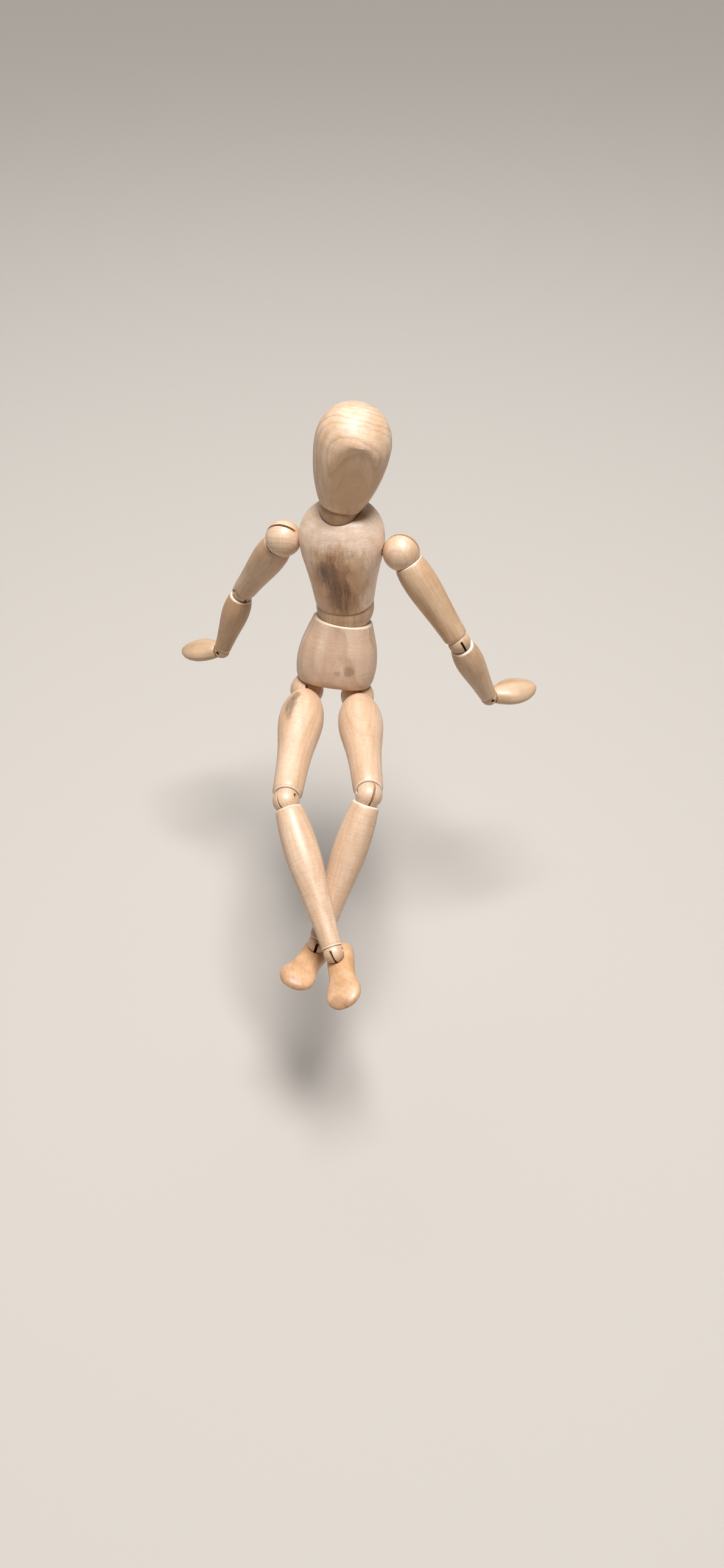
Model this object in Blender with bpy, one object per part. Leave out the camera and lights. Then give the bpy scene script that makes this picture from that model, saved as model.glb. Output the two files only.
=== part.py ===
"""Artist mannequin: a turned wooden lay figure with slotted ball joints, steel pins and tension springs.

Frame: metres, +Z up, the figure faces -Y, its own left side is towards +X.
The origin is the centre of the flat underside of the pelvis. All dimensions below are in millimetres.
"""
import bpy
import bmesh
import math
from mathutils import Matrix, Vector

for ob in list(bpy.data.objects):
    bpy.data.objects.remove(ob, do_unlink=True)

MM = 0.001
GAP = 0.35            # clearance between a ball and the cup that holds it
SEGS = 14             # sides of a turned limb
BALL_SEGS = 12        # sides of a turned ball

# ---- driving dimensions (joint centre to joint centre) ----
THIGH, SHIN, UPPER_ARM, FOREARM = 76.9, 75.5, 52.8, 42.4
HAND_LEN = 27.5
HIP_SPAN, HIP_DROP = 26.4, 5.2        # hip centres apart, and below the underside of the pelvis
WAIST_UP = 42.4                       # waist ball centre above the underside of the pelvis
SHOULDER_UP, SHOULDER_SPAN = 34.8, 59.1
NECK_UP = 55.2                        # neck ball centre above the waist ball centre

# ball radii
R_NECK, R_WAIST, R_SHOULDER, R_HIP = 9.5, 14.5, 8.9, 8.6
R_ELBOW, R_WRIST, R_KNEE, R_ANKLE = 5.6, 4.3, 6.4, 4.8

# pin radii and slot widths by ball
PIN = {"neck": 1.0, "waist": 1.2, "shoulder": 0.9, "hip": 0.9, "elbow": 0.75, "wrist": 0.7, "knee": 0.8, "ankle": 0.7}
SLOT = {"neck": 1.8, "waist": 2.0, "shoulder": 1.5, "hip": 1.8, "elbow": 1.4, "wrist": 1.3, "knee": 1.5, "ankle": 1.5}
BLIND = ("neck", "waist", "shoulder")   # these pins are pressed in from behind and do not show in front
WIRE = 0.27           # spring wire radius
HOOK_OFF = 0.34       # each spring hook sits this far off the slot's middle plane

# ---- seated pose: direction of each axis as (azimuth from +X towards +Y, elevation), degrees ----
POSE = {
    "pelvis": (64.05, 70.2),
    "chest": (-176.9, 87.79),
    "head": (25.3, 77.3),
    "thigh_R": (-95.69, -4.37), "thigh_L": (-85.76, 1.83),
    "shin_R": (-69.11, -30.89), "shin_L": (-119.72, -49.23),
    "upper_arm_R": (142.88, -55.22), "upper_arm_L": (-28.23, -51.46),
    "forearm_R": (173.07, -69.8), "forearm_L": (13.27, -64.45),
    "hand_R": (152.86, -17.78), "hand_L": (23.61, -2.58),
}
PELVIS_SIDE = (-0.85, -8.68)          # from the right hip to the left hip
CHEST_SIDE = (-15.6, 0.0)             # from the right shoulder to the left shoulder
FACE_YAW = 14.0                       # the face turns this far towards the left hand
FOOT_FWD = {"R": (-86.9, 10.5), "L": (-111.6, 20.6)}
FOOT_TILT = {"R": 24.5, "L": -10.0}   # roll of the sole about the foot's long axis


def aim(az, el):
    a, e = math.radians(az), math.radians(el)
    return Vector((math.cos(e) * math.cos(a), math.cos(e) * math.sin(a), math.sin(e)))


def frame(origin, z, x):
    """World matrix with local Z along z and local X as near to x as it can be."""
    z = z.normalized()
    x = (x - z * x.dot(z)).normalized()
    y = z.cross(x)
    m = Matrix((x, y, z)).transposed().to_4x4()
    m.translation = origin * MM
    return m


# ---- materials ----
def material(name, colour, rough, metal=0.0):
    m = bpy.data.materials.new(name)
    m.use_nodes = True
    b = m.node_tree.nodes["Principled BSDF"]
    b.inputs["Base Color"].default_value = (*colour, 1)
    b.inputs["Roughness"].default_value = rough
    b.inputs["Metallic"].default_value = metal
    m.diffuse_color = (*colour, 1)
    return m


WOOD = (0.67, 0.46, 0.27)
WOOD_LIMB = (0.60, 0.42, 0.24)
WOOD_FOOT = (0.62, 0.38, 0.19)
STEEL = (0.55, 0.54, 0.52)


# ---- mesh builders (all take millimetres in the piece's own frame) ----
def finish(name, bm, world, colour, rough=0.45, metal=0.0, smooth=35):
    bmesh.ops.recalc_face_normals(bm, faces=bm.faces)
    me = bpy.data.meshes.new(name)
    bmesh.ops.scale(bm, vec=(MM, MM, MM), verts=bm.verts)
    bm.to_mesh(me)
    bm.free()
    me.shade_smooth()
    me.set_sharp_from_angle(angle=math.radians(smooth))
    ob = bpy.data.objects.new(name, me)
    bpy.context.collection.objects.link(ob)
    ob.matrix_world = world
    me.materials.append(material(name + "_finish", colour, rough, metal))
    return ob


def rings_mesh(bm, rings, closed_loop=False):
    """Joins rings of points into a skin. A ring of one point is a pole."""
    made = [[bm.verts.new(p) for p in r] for r in rings]
    pairs = list(zip(made[:-1], made[1:]))
    if closed_loop:
        pairs.append((made[-1], made[0]))
    for a, b in pairs:
        n = max(len(a), len(b))
        for i in range(n):
            j = (i + 1) % n
            if len(a) == 1:
                bm.faces.new((a[0], b[i], b[j]))
            elif len(b) == 1:
                bm.faces.new((a[i], b[0], a[j]))
            else:
                bm.faces.new((a[i], b[i], b[j], a[j]))


def ring(r, z, n=SEGS, sx=1.0, sy=1.0, ox=0.0, oy=0.0, power=2.0):
    pts = []
    for i in range(n):
        t = 2 * math.pi * i / n
        c, s = math.cos(t), math.sin(t)
        k = (abs(c) ** power + abs(s) ** power) ** (-1.0 / power)
        pts.append(Vector((r * sx * k * c + ox, r * sy * k * s + oy, z)))
    return pts


def spline(points, z):
    """Smooth radius at height z through (z, r) points (monotone cubic)."""
    xs = [p[0] for p in points]
    ys = [p[1] for p in points]
    if z <= xs[0]:
        return ys[0]
    if z >= xs[-1]:
        return ys[-1]
    n = len(xs)
    d = [(ys[i + 1] - ys[i]) / (xs[i + 1] - xs[i]) for i in range(n - 1)]
    m = [d[0]] + [0.0 if d[i - 1] * d[i] <= 0 else 2 * d[i - 1] * d[i] / (d[i - 1] + d[i]) for i in range(1, n - 1)] + [d[-1]]
    i = max(k for k in range(n - 1) if xs[k] <= z)
    h = xs[i + 1] - xs[i]
    t = (z - xs[i]) / h
    return ((2 * t ** 3 - 3 * t * t + 1) * ys[i] + (t ** 3 - 2 * t * t + t) * h * m[i]
            + (-2 * t ** 3 + 3 * t * t) * ys[i + 1] + (t ** 3 - t * t) * h * m[i + 1])


def cup_arc(radius, r_from, r_to, centre, side, steps):
    """Points (r, z) on a sphere about z=centre, from ring radius r_from to r_to. side -1 is above, +1 below."""
    a0, a1 = math.asin(r_from / radius), math.asin(r_to / radius)
    return [(radius * math.sin(a0 + (a1 - a0) * i / steps), centre + side * radius * math.cos(a0 + (a1 - a0) * i / steps))
            for i in range(steps + 1)]


def limb_profile(points, length, ball_top, ball_low, rim_top, rim_low, bore, rows):
    """Closed (r, z) loop of a turned limb with a cup at each end and a bore for its spring."""
    top, low = ball_top + GAP, ball_low + GAP
    outer = [(spline(points, z), z) for z in rows]
    prof = []
    prof += cup_arc(top, bore, math.sqrt(top ** 2 - rim_top ** 2), 0.0, 1, 2)
    prof += outer
    prof += cup_arc(low, math.sqrt(low ** 2 - rim_low ** 2), bore, length, -1, 2)
    return prof


def turned(name, profile, world, colour, segs=SEGS):
    bm = bmesh.new()
    rings_mesh(bm, [ring(r, z, segs) for r, z in profile], closed_loop=True)
    return finish(name, bm, world, colour)


def cutter(name, bm, world):
    bmesh.ops.recalc_face_normals(bm, faces=bm.faces)
    bmesh.ops.scale(bm, vec=(MM, MM, MM), verts=bm.verts)
    me = bpy.data.meshes.new(name)
    bm.to_mesh(me)
    bm.free()
    ob = bpy.data.objects.new(name, me)
    bpy.context.collection.objects.link(ob)
    ob.matrix_world = world
    ob.hide_render = True
    ob.display_type = "WIRE"
    return ob


def cut(ob, tool):
    mod = ob.modifiers.new(tool.name, "BOOLEAN")
    mod.operation = "DIFFERENCE"
    mod.solver = "EXACT"
    mod.object = tool


def sphere_rings(radius, segs, rows):
    out = [[Vector((0, 0, -radius))]]
    for i in range(1, rows):
        a = math.pi * i / rows
        out.append(ring(radius * math.sin(a), -radius * math.cos(a), segs))
    out.append([Vector((0, 0, radius))])
    return out


def cut_sphere(ob, name, centre, radius, segs=16, rows=9):
    bm = bmesh.new()
    rings_mesh(bm, sphere_rings(radius, segs, rows))
    cut(ob, cutter(name, bm, Matrix.Translation(centre * MM)))


def cut_rod(ob, name, a, b, radius, segs=10):
    bm = bmesh.new()
    length = (b - a).length
    rings_mesh(bm, [[Vector((0, 0, 0))], ring(radius, 0, segs), ring(radius, length, segs), [Vector((0, 0, length))]])
    z = (b - a).normalized()
    x = Vector((0, 1, 0)) if abs(z.y) < 0.8 else Vector((1, 0, 0))
    cut(ob, cutter(name, bm, frame(a, z, x)))


def rod(name, a, b, radius, colour, chamfer=0.25, segs=8):
    bm = bmesh.new()
    length = (b - a).length
    rings_mesh(bm, [[Vector((0, 0, 0))], ring(radius - chamfer, 0, segs), ring(radius, chamfer, segs),
                    ring(radius, length - chamfer, segs), ring(radius - chamfer, length, segs), [Vector((0, 0, length))]])
    z = (b - a).normalized()
    x = Vector((0, 0, 1)) if abs(z.z) < 0.8 else Vector((1, 0, 0))
    return finish(name, bm, frame((a + b) / 2, z, x) @ Matrix.Translation((0, 0, -length / 2 * MM)), colour, 0.35, 1.0)


# ---- the balls: each one sits in its parent's cup, is slotted for the wire links and carries a cross pin ----
JOINTS = {}


def ball(name, kind, radius, centre, parent_dir, child_dir, slot_from, slot_to):
    """parent_dir points from the parent through the ball, child_dir along the piece that hangs on it."""
    w = frame(centre, parent_dir, child_dir)
    bm = bmesh.new()
    rings_mesh(bm, sphere_rings(radius, BALL_SEGS, 7))
    # poles of the turned ball lie on the pin's axis
    bmesh.ops.rotate(bm, verts=bm.verts, cent=(0, 0, 0), matrix=Matrix.Rotation(math.radians(90), 3, "X"))
    ob = finish(name, bm, w, WOOD)
    # slot for the child's link, a fan in the plane square to the pin
    half, eye = SLOT[kind] / 2, PIN[kind] + 1.7
    a0, a1 = math.radians(slot_from), math.radians(slot_to)
    fan = [(radius * 1.35 * math.sin(a0 + (a1 - a0) * i / 8), radius * 1.35 * math.cos(a0 + (a1 - a0) * i / 8)) for i in range(9)]
    rest = 2 * math.pi - (a1 - a0)
    if rest > 0.2:
        fan += [(eye * math.sin(a1 + rest * i / 3), eye * math.cos(a1 + rest * i / 3)) for i in range(4)]
    bm = bmesh.new()
    lo = [bm.verts.new((x, -half, z)) for x, z in fan]
    hi = [bm.verts.new((x, half, z)) for x, z in fan]
    bm.faces.new(lo)
    bm.faces.new(hi)
    for i in range(len(fan)):
        j = (i + 1) % len(fan)
        bm.faces.new((lo[i], lo[j], hi[j], hi[i]))
    cut(ob, cutter("cut_slot_" + name, bm, w))
    n = (w.to_3x3() @ Vector((0, 1, 0))).normalized()
    p = parent_dir.normalized()
    deep, blind = (0.9 if radius < 8 else 1.3), kind in BLIND
    back = n if n.y > 0 else -n
    if blind:
        deep = 2.3
        cut_rod(ob, "cut_pin_" + name, centre - back * (radius - 1.9), centre + back * (radius + 1), PIN[kind] + 0.32, 8)
    else:
        cut_rod(ob, "cut_pin_" + name, centre - n * (radius + 1), centre + n * (radius + 1), PIN[kind] + 0.32, 8)
    cut_rod(ob, "cut_link_" + name, centre - p * (radius + 1), centre, HOOK_OFF + WIRE + 0.3, 6)
    rod(name.replace("_ball", "_pin"), centre - n * (radius - deep), centre + n * (radius - deep), PIN[kind], STEEL)
    JOINTS[name] = (centre.copy(), p, n)
    return ob


# ---- springs: one wire from hook to hook, with a close coil between ----
def hook(centre, along, pin, off, radius):
    """Points of an eye round the pin, leaving along the given direction."""
    side = pin.cross(along).normalized()
    c = centre + pin * off
    pts = []
    for i in range(6):
        a = math.radians(75 + (360 - 75) * i / 5)
        pts.append(c + along * (radius * math.cos(a)) + side * (radius * math.sin(a)))
    return pts


def coil(a, b, radius, turns, per=4):
    z = (b - a).normalized()
    x = Vector((0, 1, 0)) if abs(z.y) < 0.8 else Vector((1, 0, 0))
    x = (x - z * x.dot(z)).normalized()
    y = z.cross(x)
    n = turns * per
    return [a + (b - a) * (i / n) + (x * math.cos(2 * math.pi * i / per) + y * math.sin(2 * math.pi * i / per)) * radius
            for i in range(n + 1)]


def wire(name, pts, radius=WIRE, sides=3):
    bm = bmesh.new()
    rings, up = [], None
    for i, p in enumerate(pts):
        t = (pts[min(i + 1, len(pts) - 1)] - pts[max(i - 1, 0)]).normalized()
        if up is None:
            up = Vector((0, 0, 1)) if abs(t.z) < 0.7 else Vector((1, 0, 0))
        up = (up - t * up.dot(t)).normalized()
        v = t.cross(up)
        rings.append([p + (up * math.cos(2 * math.pi * k / sides) + v * math.sin(2 * math.pi * k / sides)) * radius for k in range(sides)])
    rings = [[pts[0]]] + rings + [[pts[-1]]]
    rings_mesh(bm, rings)
    return finish(name, bm, Matrix.Identity(4), STEEL, 0.35, 1.0)


def pinned_spring(name, top_ball, low_ball, top_kind, low_kind, coil_radius, turns, c0, c1):
    """Spring through a limb: hooks on the pin of the ball above and on the pin of the ball below."""
    ct, _, nt = JOINTS[top_ball]
    cl, _, nl = JOINTS[low_ball]
    z = (cl - ct).normalized()
    length = (cl - ct).length
    rt, rl = PIN[top_kind] + 0.6, PIN[low_kind] + 0.6
    a = hook(ct, z, nt, -HOOK_OFF, rt)
    b = hook(cl, -z, nl, HOOK_OFF, rl)
    pts = a + [ct + z * (rt + 1.2) - nt * HOOK_OFF, ct + z * (length * c0 - 0.8)]
    pts += coil(ct + z * length * c0, ct + z * length * c1, coil_radius, turns)
    pts += [ct + z * (length * c1 + 0.8), cl - z * (rl + 1.2) + nl * HOOK_OFF] + list(reversed(b))
    return wire(name, pts)


def anchored_spring(name, top_ball, kind, direction, coil_radius, turns, start, end):
    """Spring hooked on a ball's pin, its other end held in a blind hole."""
    ct, _, nt = JOINTS[top_ball]
    z = direction.normalized()
    rt = PIN[kind] + 0.6
    pts = hook(ct, z, nt, -HOOK_OFF, rt) + [ct + z * (rt + 0.9) - nt * HOOK_OFF, ct + z * (start - 0.5)]
    pts += coil(ct + z * start, ct + z * end, coil_radius, turns)
    return wire(name, pts)


# =====================================================================================
# joint centres in the seated pose
# =====================================================================================
Z_P, X_P = aim(*POSE["pelvis"]), aim(*PELVIS_SIDE)
X_P = (X_P - Z_P * X_P.dot(Z_P)).normalized()
Y_P = Z_P.cross(X_P)
Z_C, X_C = aim(*POSE["chest"]), aim(*CHEST_SIDE)
X_C = (X_C - Z_C * X_C.dot(Z_C)).normalized()
Z_H = aim(*POSE["head"])
X_H = Matrix.Rotation(math.radians(FACE_YAW), 3, "Z") @ Vector((1, 0, 0))
X_H = (X_H - Z_H * X_H.dot(Z_H)).normalized()

C_WAIST = Z_P * WAIST_UP
C_NECK = C_WAIST + Z_C * NECK_UP
HIP = {"R": -Z_P * HIP_DROP - X_P * HIP_SPAN / 2, "L": -Z_P * HIP_DROP + X_P * HIP_SPAN / 2}
SHO = {s: C_WAIST + Z_C * SHOULDER_UP + X_C * (k * SHOULDER_SPAN / 2) for s, k in (("R", -1), ("L", 1))}
D = {k: aim(*v) for k, v in POSE.items()}
KNEE = {s: HIP[s] + D["thigh_" + s] * THIGH for s in "RL"}
ANKLE = {s: KNEE[s] + D["shin_" + s] * SHIN for s in "RL"}
ELBOW = {s: SHO[s] + D["upper_arm_" + s] * UPPER_ARM for s in "RL"}
WRIST = {s: ELBOW[s] + D["forearm_" + s] * FOREARM for s in "RL"}
SIDE = {"R": "right", "L": "left"}

# =====================================================================================
# torso
# =====================================================================================
# pelvis: half width and half depth by height above its underside
PELVIS_W = [(0.3, 16.9), (0.9, 18.0), (1.6, 18.5), (2.8, 19.1), (6, 20.0), (12, 20.5), (20, 19.7), (28, 17.4), (35.2, 14.9)]
PELVIS_D = [(0.3, 8.2), (0.9, 10.2), (1.6, 12.2), (2.8, 13.4), (6, 14.4), (12, 15.3), (20, 15.6), (28, 14.9), (35.2, 14.3)]
PELVIS_TOP = 35.2
M_PELVIS = frame(Vector((0, 0, 0)), Z_P, X_P)
bm = bmesh.new()
rows = [0.3, 0.9, 1.6, 2.8, 6, 11, 17, 23, 29, 34.6, PELVIS_TOP]
rr = [[Vector((0, 0, 0))], ring(1, 0, 24, 3.9, 6.5, power=2.25)]   # a narrow flat land between the hip balls
for z in rows:
    inset = 0.5 if z == PELVIS_TOP else 0.0
    rr.append(ring(1, z, 24, spline(PELVIS_W, z) - inset, spline(PELVIS_D, z) - inset, power=2.25))
rr.append([Vector((0, 0, PELVIS_TOP))])
rings_mesh(bm, rr)
pelvis = finish("pelvis", bm, M_PELVIS, WOOD)
cut_sphere(pelvis, "cut_pelvis_waist", C_WAIST, R_WAIST + GAP + 0.1, 20, 12)
cut_rod(pelvis, "cut_pelvis_bore", Z_P * 12, Z_P * 34, 2.9)
for s in "RL":
    cut_sphere(pelvis, "cut_pelvis_hip_" + s, HIP[s], R_HIP + GAP + 0.05, 16, 9)
    cut_rod(pelvis, "cut_pelvis_hole_" + s, HIP[s], HIP[s] + Z_P * (HIP_DROP + 6.5), 1.4, 8)
cut_rod(pelvis, "cut_pelvis_cross", Z_P * 6.5 - X_P * 15, Z_P * 6.5 + X_P * 15, 2.4)

# chest: half width and half depth by height above the waist ball's centre
CHEST_W = [(4.0, 14.55), (8.5, 15.3), (16, 16.6), (24, 18.3), (32, 20.2), (38, 21.0), (43, 20.6), (46.5, 19.4), (49.2, 17.6), (51, 15.7), (52.4, 13.6), (53.4, 11.2), (53.9, 8.5)]
CHEST_D = [(4.0, 14.3), (8.5, 14.6), (16, 15.0), (24, 15.4), (32, 15.7), (38, 15.7), (43, 15.3), (46.5, 14.7), (49.2, 13.6), (51, 12.5), (52.4, 11.2), (53.4, 9.5), (53.9, 7.2)]
CHEST_BACK = [(4.0, 0.0), (30, 0.0), (38, 0.8), (43, 1.8), (46.5, 2.8), (49.2, 3.6), (51, 4.2), (52.4, 4.7), (53.9, 5.1)]   # the top leans back
CHEST_RIM, CHEST_TOP = 4.0, 54.0
M_CHEST = frame(C_WAIST, Z_C, X_C)
bm = bmesh.new()
rr = [[Vector((0, 0, CHEST_RIM))]]
for z in [CHEST_RIM, 7, 15, 24, 32, 38, 43, 47, 50.3, 52.4, 53.4, 53.9]:
    rr.append(ring(1, z, 24, spline(CHEST_W, z), spline(CHEST_D, z), oy=spline(CHEST_BACK, z), power=2.12))
rr.append([Vector((0, spline(CHEST_BACK, CHEST_TOP), CHEST_TOP))])
rings_mesh(bm, rr)
chest = finish("chest", bm, M_CHEST, WOOD)
cut_sphere(chest, "cut_chest_waist", C_WAIST, R_WAIST + GAP + 0.1, 20, 12)
cut_sphere(chest, "cut_chest_neck", C_NECK, R_NECK + GAP + 0.35, 18, 10)
for s in "RL":
    cut_sphere(chest, "cut_chest_shoulder_" + s, SHO[s], R_SHOULDER + GAP + 0.05, 16, 9)
cut_rod(chest, "cut_chest_bore", C_WAIST + Z_C * 10, C_WAIST + Z_C * 50, 3.0)
cut_rod(chest, "cut_chest_cross", SHO["R"], SHO["L"], 2.7)

# =====================================================================================
# neck, waist, and the head
# =====================================================================================
ball("waist_ball", "waist", R_WAIST, C_WAIST, Z_P, Z_C, -50, 50)
ball("neck_ball", "neck", R_NECK, C_NECK, Z_C, Z_H, -50, 50)

HEAD_RIM, HEAD_TOP = 1.9, 50.6
HEAD_W = [(1.7, 9.95), (5, 11.6), (10, 13.6), (16, 15.4), (22, 16.6), (28, 17.35), (33, 17.5), (38, 16.8), (43, 14.6), (47, 11.0), (49.6, 6.2), (50.4, 3.0)]
HEAD_BACK = [(1.7, 10.1), (5, 12.2), (10, 14.8), (16, 17.0), (22, 18.3), (28, 18.9), (33, 18.6), (38, 17.3), (43, 14.6), (47, 10.8), (49.6, 6.0), (50.4, 3.0)]
HEAD_FRONT = [(1.7, 10.1), (5, 11.6), (10, 13.2), (16, 14.9), (22, 16.5), (26.5, 18.0), (31, 18.8), (35, 18.4), (40, 16.4), (44, 13.6), (47, 10.4), (49.6, 6.0), (50.4, 3.0)]
M_HEAD = frame(C_NECK, Z_H, X_H)


def head_ring(z, n=24):
    w, back, front = spline(HEAD_W, z), spline(HEAD_BACK, z), spline(HEAD_FRONT, z)
    flat = max(0.0, min(1.0, (27.0 - z) / 5.0)) * max(0.0, min(1.0, (z - 1.0) / 7.0))   # the face is planed flatter
    pts = []
    for i in range(n):
        t = 2 * math.pi * i / n
        c, s = math.cos(t), math.sin(t)
        power = 2.0 + (0.45 * flat if s < 0 else 0.0)
        k = (abs(c) ** power + abs(s) ** power) ** (-1.0 / power)
        pts.append(Vector((w * k * c, (back if s > 0 else front) * k * s, z)))
    return pts


bm = bmesh.new()
rings_mesh(bm, [[Vector((0, 0, HEAD_RIM))]] + [head_ring(z) for z in (1.9, 5, 10, 16, 22, 26.5, 31, 36, 41, 45, 48, 50)] + [[Vector((0, 0, HEAD_TOP))]])
head = finish("head", bm, M_HEAD, WOOD)
cut_sphere(head, "cut_head_neck", C_NECK, R_NECK + GAP + 0.05, 18, 10)
cut_rod(head, "cut_head_bore", C_NECK + Z_H * 7, C_NECK + Z_H * 28, 2.6)

# =====================================================================================
# limbs
# =====================================================================================
# radius by distance from the upper joint centre
THIGH_R = [(6.2, 6.85), (8.0, 7.9), (12, 9.6), (18, 11.0), (24, 11.35), (30, 10.9), (37, 9.9), (44, 8.9), (52, 8.15), (61, 7.65), (68.5, 7.4), (71.6, 7.25), (73.0, 6.6), (73.3, 6.2)]
SHIN_R = [(4.3, 6.15), (4.9, 6.6), (8, 7.1), (13, 7.7), (19, 8.15), (26, 8.35), (32, 8.2), (38, 7.65), (45, 6.95), (52, 6.35), (59, 5.8), (66, 5.25), (71.5, 4.95), (72.5, 4.9), (72.9, 4.7)]
UPPER_R = [(6.4, 6.95), (6.9, 7.3), (9.2, 7.8), (13, 8.25), (18, 8.35), (24, 8.05), (31, 7.4), (38, 6.75), (45, 6.25), (49.2, 6.0), (50.0, 5.6)]
FORE_R = [(3.5, 5.3), (3.9, 5.75), (6.5, 6.5), (10, 7.05), (14, 7.2), (20, 6.75), (27, 5.8), (33, 5.1), (38, 4.6), (39.7, 4.5), (40.1, 4.3)]
TH_BORE, SH_BORE, UA_BORE, FA_BORE = 2.7, 2.3, 2.5, 2.0

for s in "RL":
    side = SIDE[s]
    out = X_C if s == "L" else -X_C
    # arm
    ball("shoulder_ball_" + side, "shoulder", R_SHOULDER, SHO[s], out, D["upper_arm_" + s], -128, 88)
    M = frame(SHO[s], D["upper_arm_" + s], Vector((0, 1, 0)))
    turned("upper_arm_" + side, limb_profile(UPPER_R, UPPER_ARM, R_SHOULDER, R_ELBOW, 6.4, 2.8, UA_BORE,
           [6.4, 6.9, 10, 15, 22, 30, 38, 45, 49.2, 50.0]), M, WOOD_LIMB)
    ball("elbow_ball_" + side, "elbow", R_ELBOW, ELBOW[s], D["upper_arm_" + s], D["forearm_" + s], -100, 100)
    M = frame(ELBOW[s], D["forearm_" + s], Vector((0, 1, 0)))
    turned("forearm_" + side, limb_profile(FORE_R, FOREARM, R_ELBOW, R_WRIST, 3.5, 2.3, FA_BORE,
           [3.5, 3.9, 7, 11, 15, 21, 28, 34, 39.7, 40.1]), M, WOOD_LIMB)
    ball("wrist_ball_" + side, "wrist", R_WRIST, WRIST[s], D["forearm_" + s], D["hand_" + s], -100, 100)
    # leg
    ball("hip_ball_" + side, "hip", R_HIP, HIP[s], -Z_P, D["thigh_" + s], -35, 130)
    M = frame(HIP[s], D["thigh_" + s], Vector((1, 0, 0)))
    turned("thigh_" + side, limb_profile(THIGH_R, THIGH, R_HIP, R_KNEE, 6.2, 3.6, TH_BORE,
           [6.2, 8.0, 12, 18, 24, 31, 39, 49, 60, 71.6, 73.0, 73.3]), M, WOOD)
    ball("knee_ball_" + side, "knee", R_KNEE, KNEE[s], D["thigh_" + s], D["shin_" + s], -110, 100)
    M = frame(KNEE[s], D["shin_" + s], Vector((1, 0, 0)))
    turned("shin_" + side, limb_profile(SHIN_R, SHIN, R_KNEE, R_ANKLE, 4.3, 2.6, SH_BORE,
           [4.3, 4.9, 9, 14, 20, 27, 34, 43, 53, 63, 72.5, 72.9]), M, WOOD)

# hands: a flat leaf with a shallow cup at the wrist. Rows: distance, half width, half thickness
HAND = [(2.9, 3.9, 3.7), (4.2, 4.9, 4.2), (6.5, 6.3, 4.6), (10, 7.9, 4.9), (14, 8.7, 4.9), (18, 8.3, 4.4), (22, 6.7, 3.6), (25, 4.5, 2.6), (26.8, 2.2, 1.5)]
M_HAND, M_FOOT = {}, {}
for s in "RL":
    side = SIDE[s]
    z = D["hand_" + s]
    flat = Vector((0, 0, 1)).cross(z).normalized()
    M_HAND[s] = frame(WRIST[s], z, flat)
    bm = bmesh.new()
    rr = [[Vector((0, 0, 2.9))]]
    for d, w, t in HAND:
        rr.append(ring(1, d, 14, w, t, power=2.1))
    rr.append([Vector((0, 0, HAND_LEN))])
    rings_mesh(bm, rr)
    hand = finish("hand_" + side, bm, M_HAND[s], WOOD_LIMB)
    cut_sphere(hand, "cut_hand_cup_" + s, WRIST[s], R_WRIST + GAP, 12, 7)
    cut_rod(hand, "cut_hand_bore_" + s, WRIST[s] + z * 2.5, WRIST[s] + z * 15, 1.7, 10)

# feet. Rows along the foot: forward, half width, top height, bottom height (from the ankle centre)
FOOT = [(-12.2, 2.8, -6.2, -9.7), (-11.0, 4.9, -4.4, -11.2), (-8.3, 6.1, -3.4, -11.7), (-3.8, 6.5, -3.1, -11.7), (1.2, 6.4, -3.1, -11.7),
        (4.3, 6.2, -3.6, -11.7), (7.4, 6.2, -4.3, -11.7), (10.9, 6.6, -5.0, -11.7), (14.8, 7.5, -5.6, -11.7), (18.6, 8.3, -5.9, -11.7),
        (22.2, 8.4, -6.3, -11.7), (24.8, 7.6, -7.2, -11.5), (26.2, 5.6, -8.4, -11.0), (26.9, 3.1, -9.4, -10.4)]


def foot_ring(x, w, top, low, n=16):
    """Closed outline square to the foot, with a flat sole and a rounded top."""
    mid, half = (top + low) / 2, (top - low) / 2
    pts = []
    for i in range(n):
        t = 2 * math.pi * i / n
        c, s = math.cos(t), math.sin(t)
        power = 2.3 if s > 0 else 5.0
        k = (abs(c) ** power + abs(s) ** power) ** (-1.0 / power)
        pts.append(Vector((w * k * c, -x, mid + half * k * s)))
    return pts


for s in "RL":
    side = SIDE[s]
    fwd = aim(*FOOT_FWD[s])
    up = Vector((0, 0, 1))
    up = (up - fwd * up.dot(fwd)).normalized()
    up = Matrix.Rotation(math.radians(FOOT_TILT[s]), 3, fwd) @ up
    M_FOOT[s] = frame(ANKLE[s], up, up.cross(fwd))
    ball("ankle_ball_" + side, "ankle", R_ANKLE, ANKLE[s], D["shin_" + s], -up, -100, 100)
    bm = bmesh.new()
    rr = [[Vector((0, 12.5, -8.0))]]
    for row in FOOT:
        rr.append(foot_ring(*row))
    rr.append([Vector((0, -27.2, -9.9))])
    rings_mesh(bm, rr)
    foot = finish("foot_" + side, bm, M_FOOT[s], WOOD_FOOT)
    cut_sphere(foot, "cut_foot_seat_" + s, ANKLE[s], R_ANKLE + GAP, 12, 7)
    cut_rod(foot, "cut_foot_bore_" + s, ANKLE[s] - up * 3, ANKLE[s] - up * 9.9, 1.8, 8)
    D["foot_down_" + s] = -up

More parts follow.
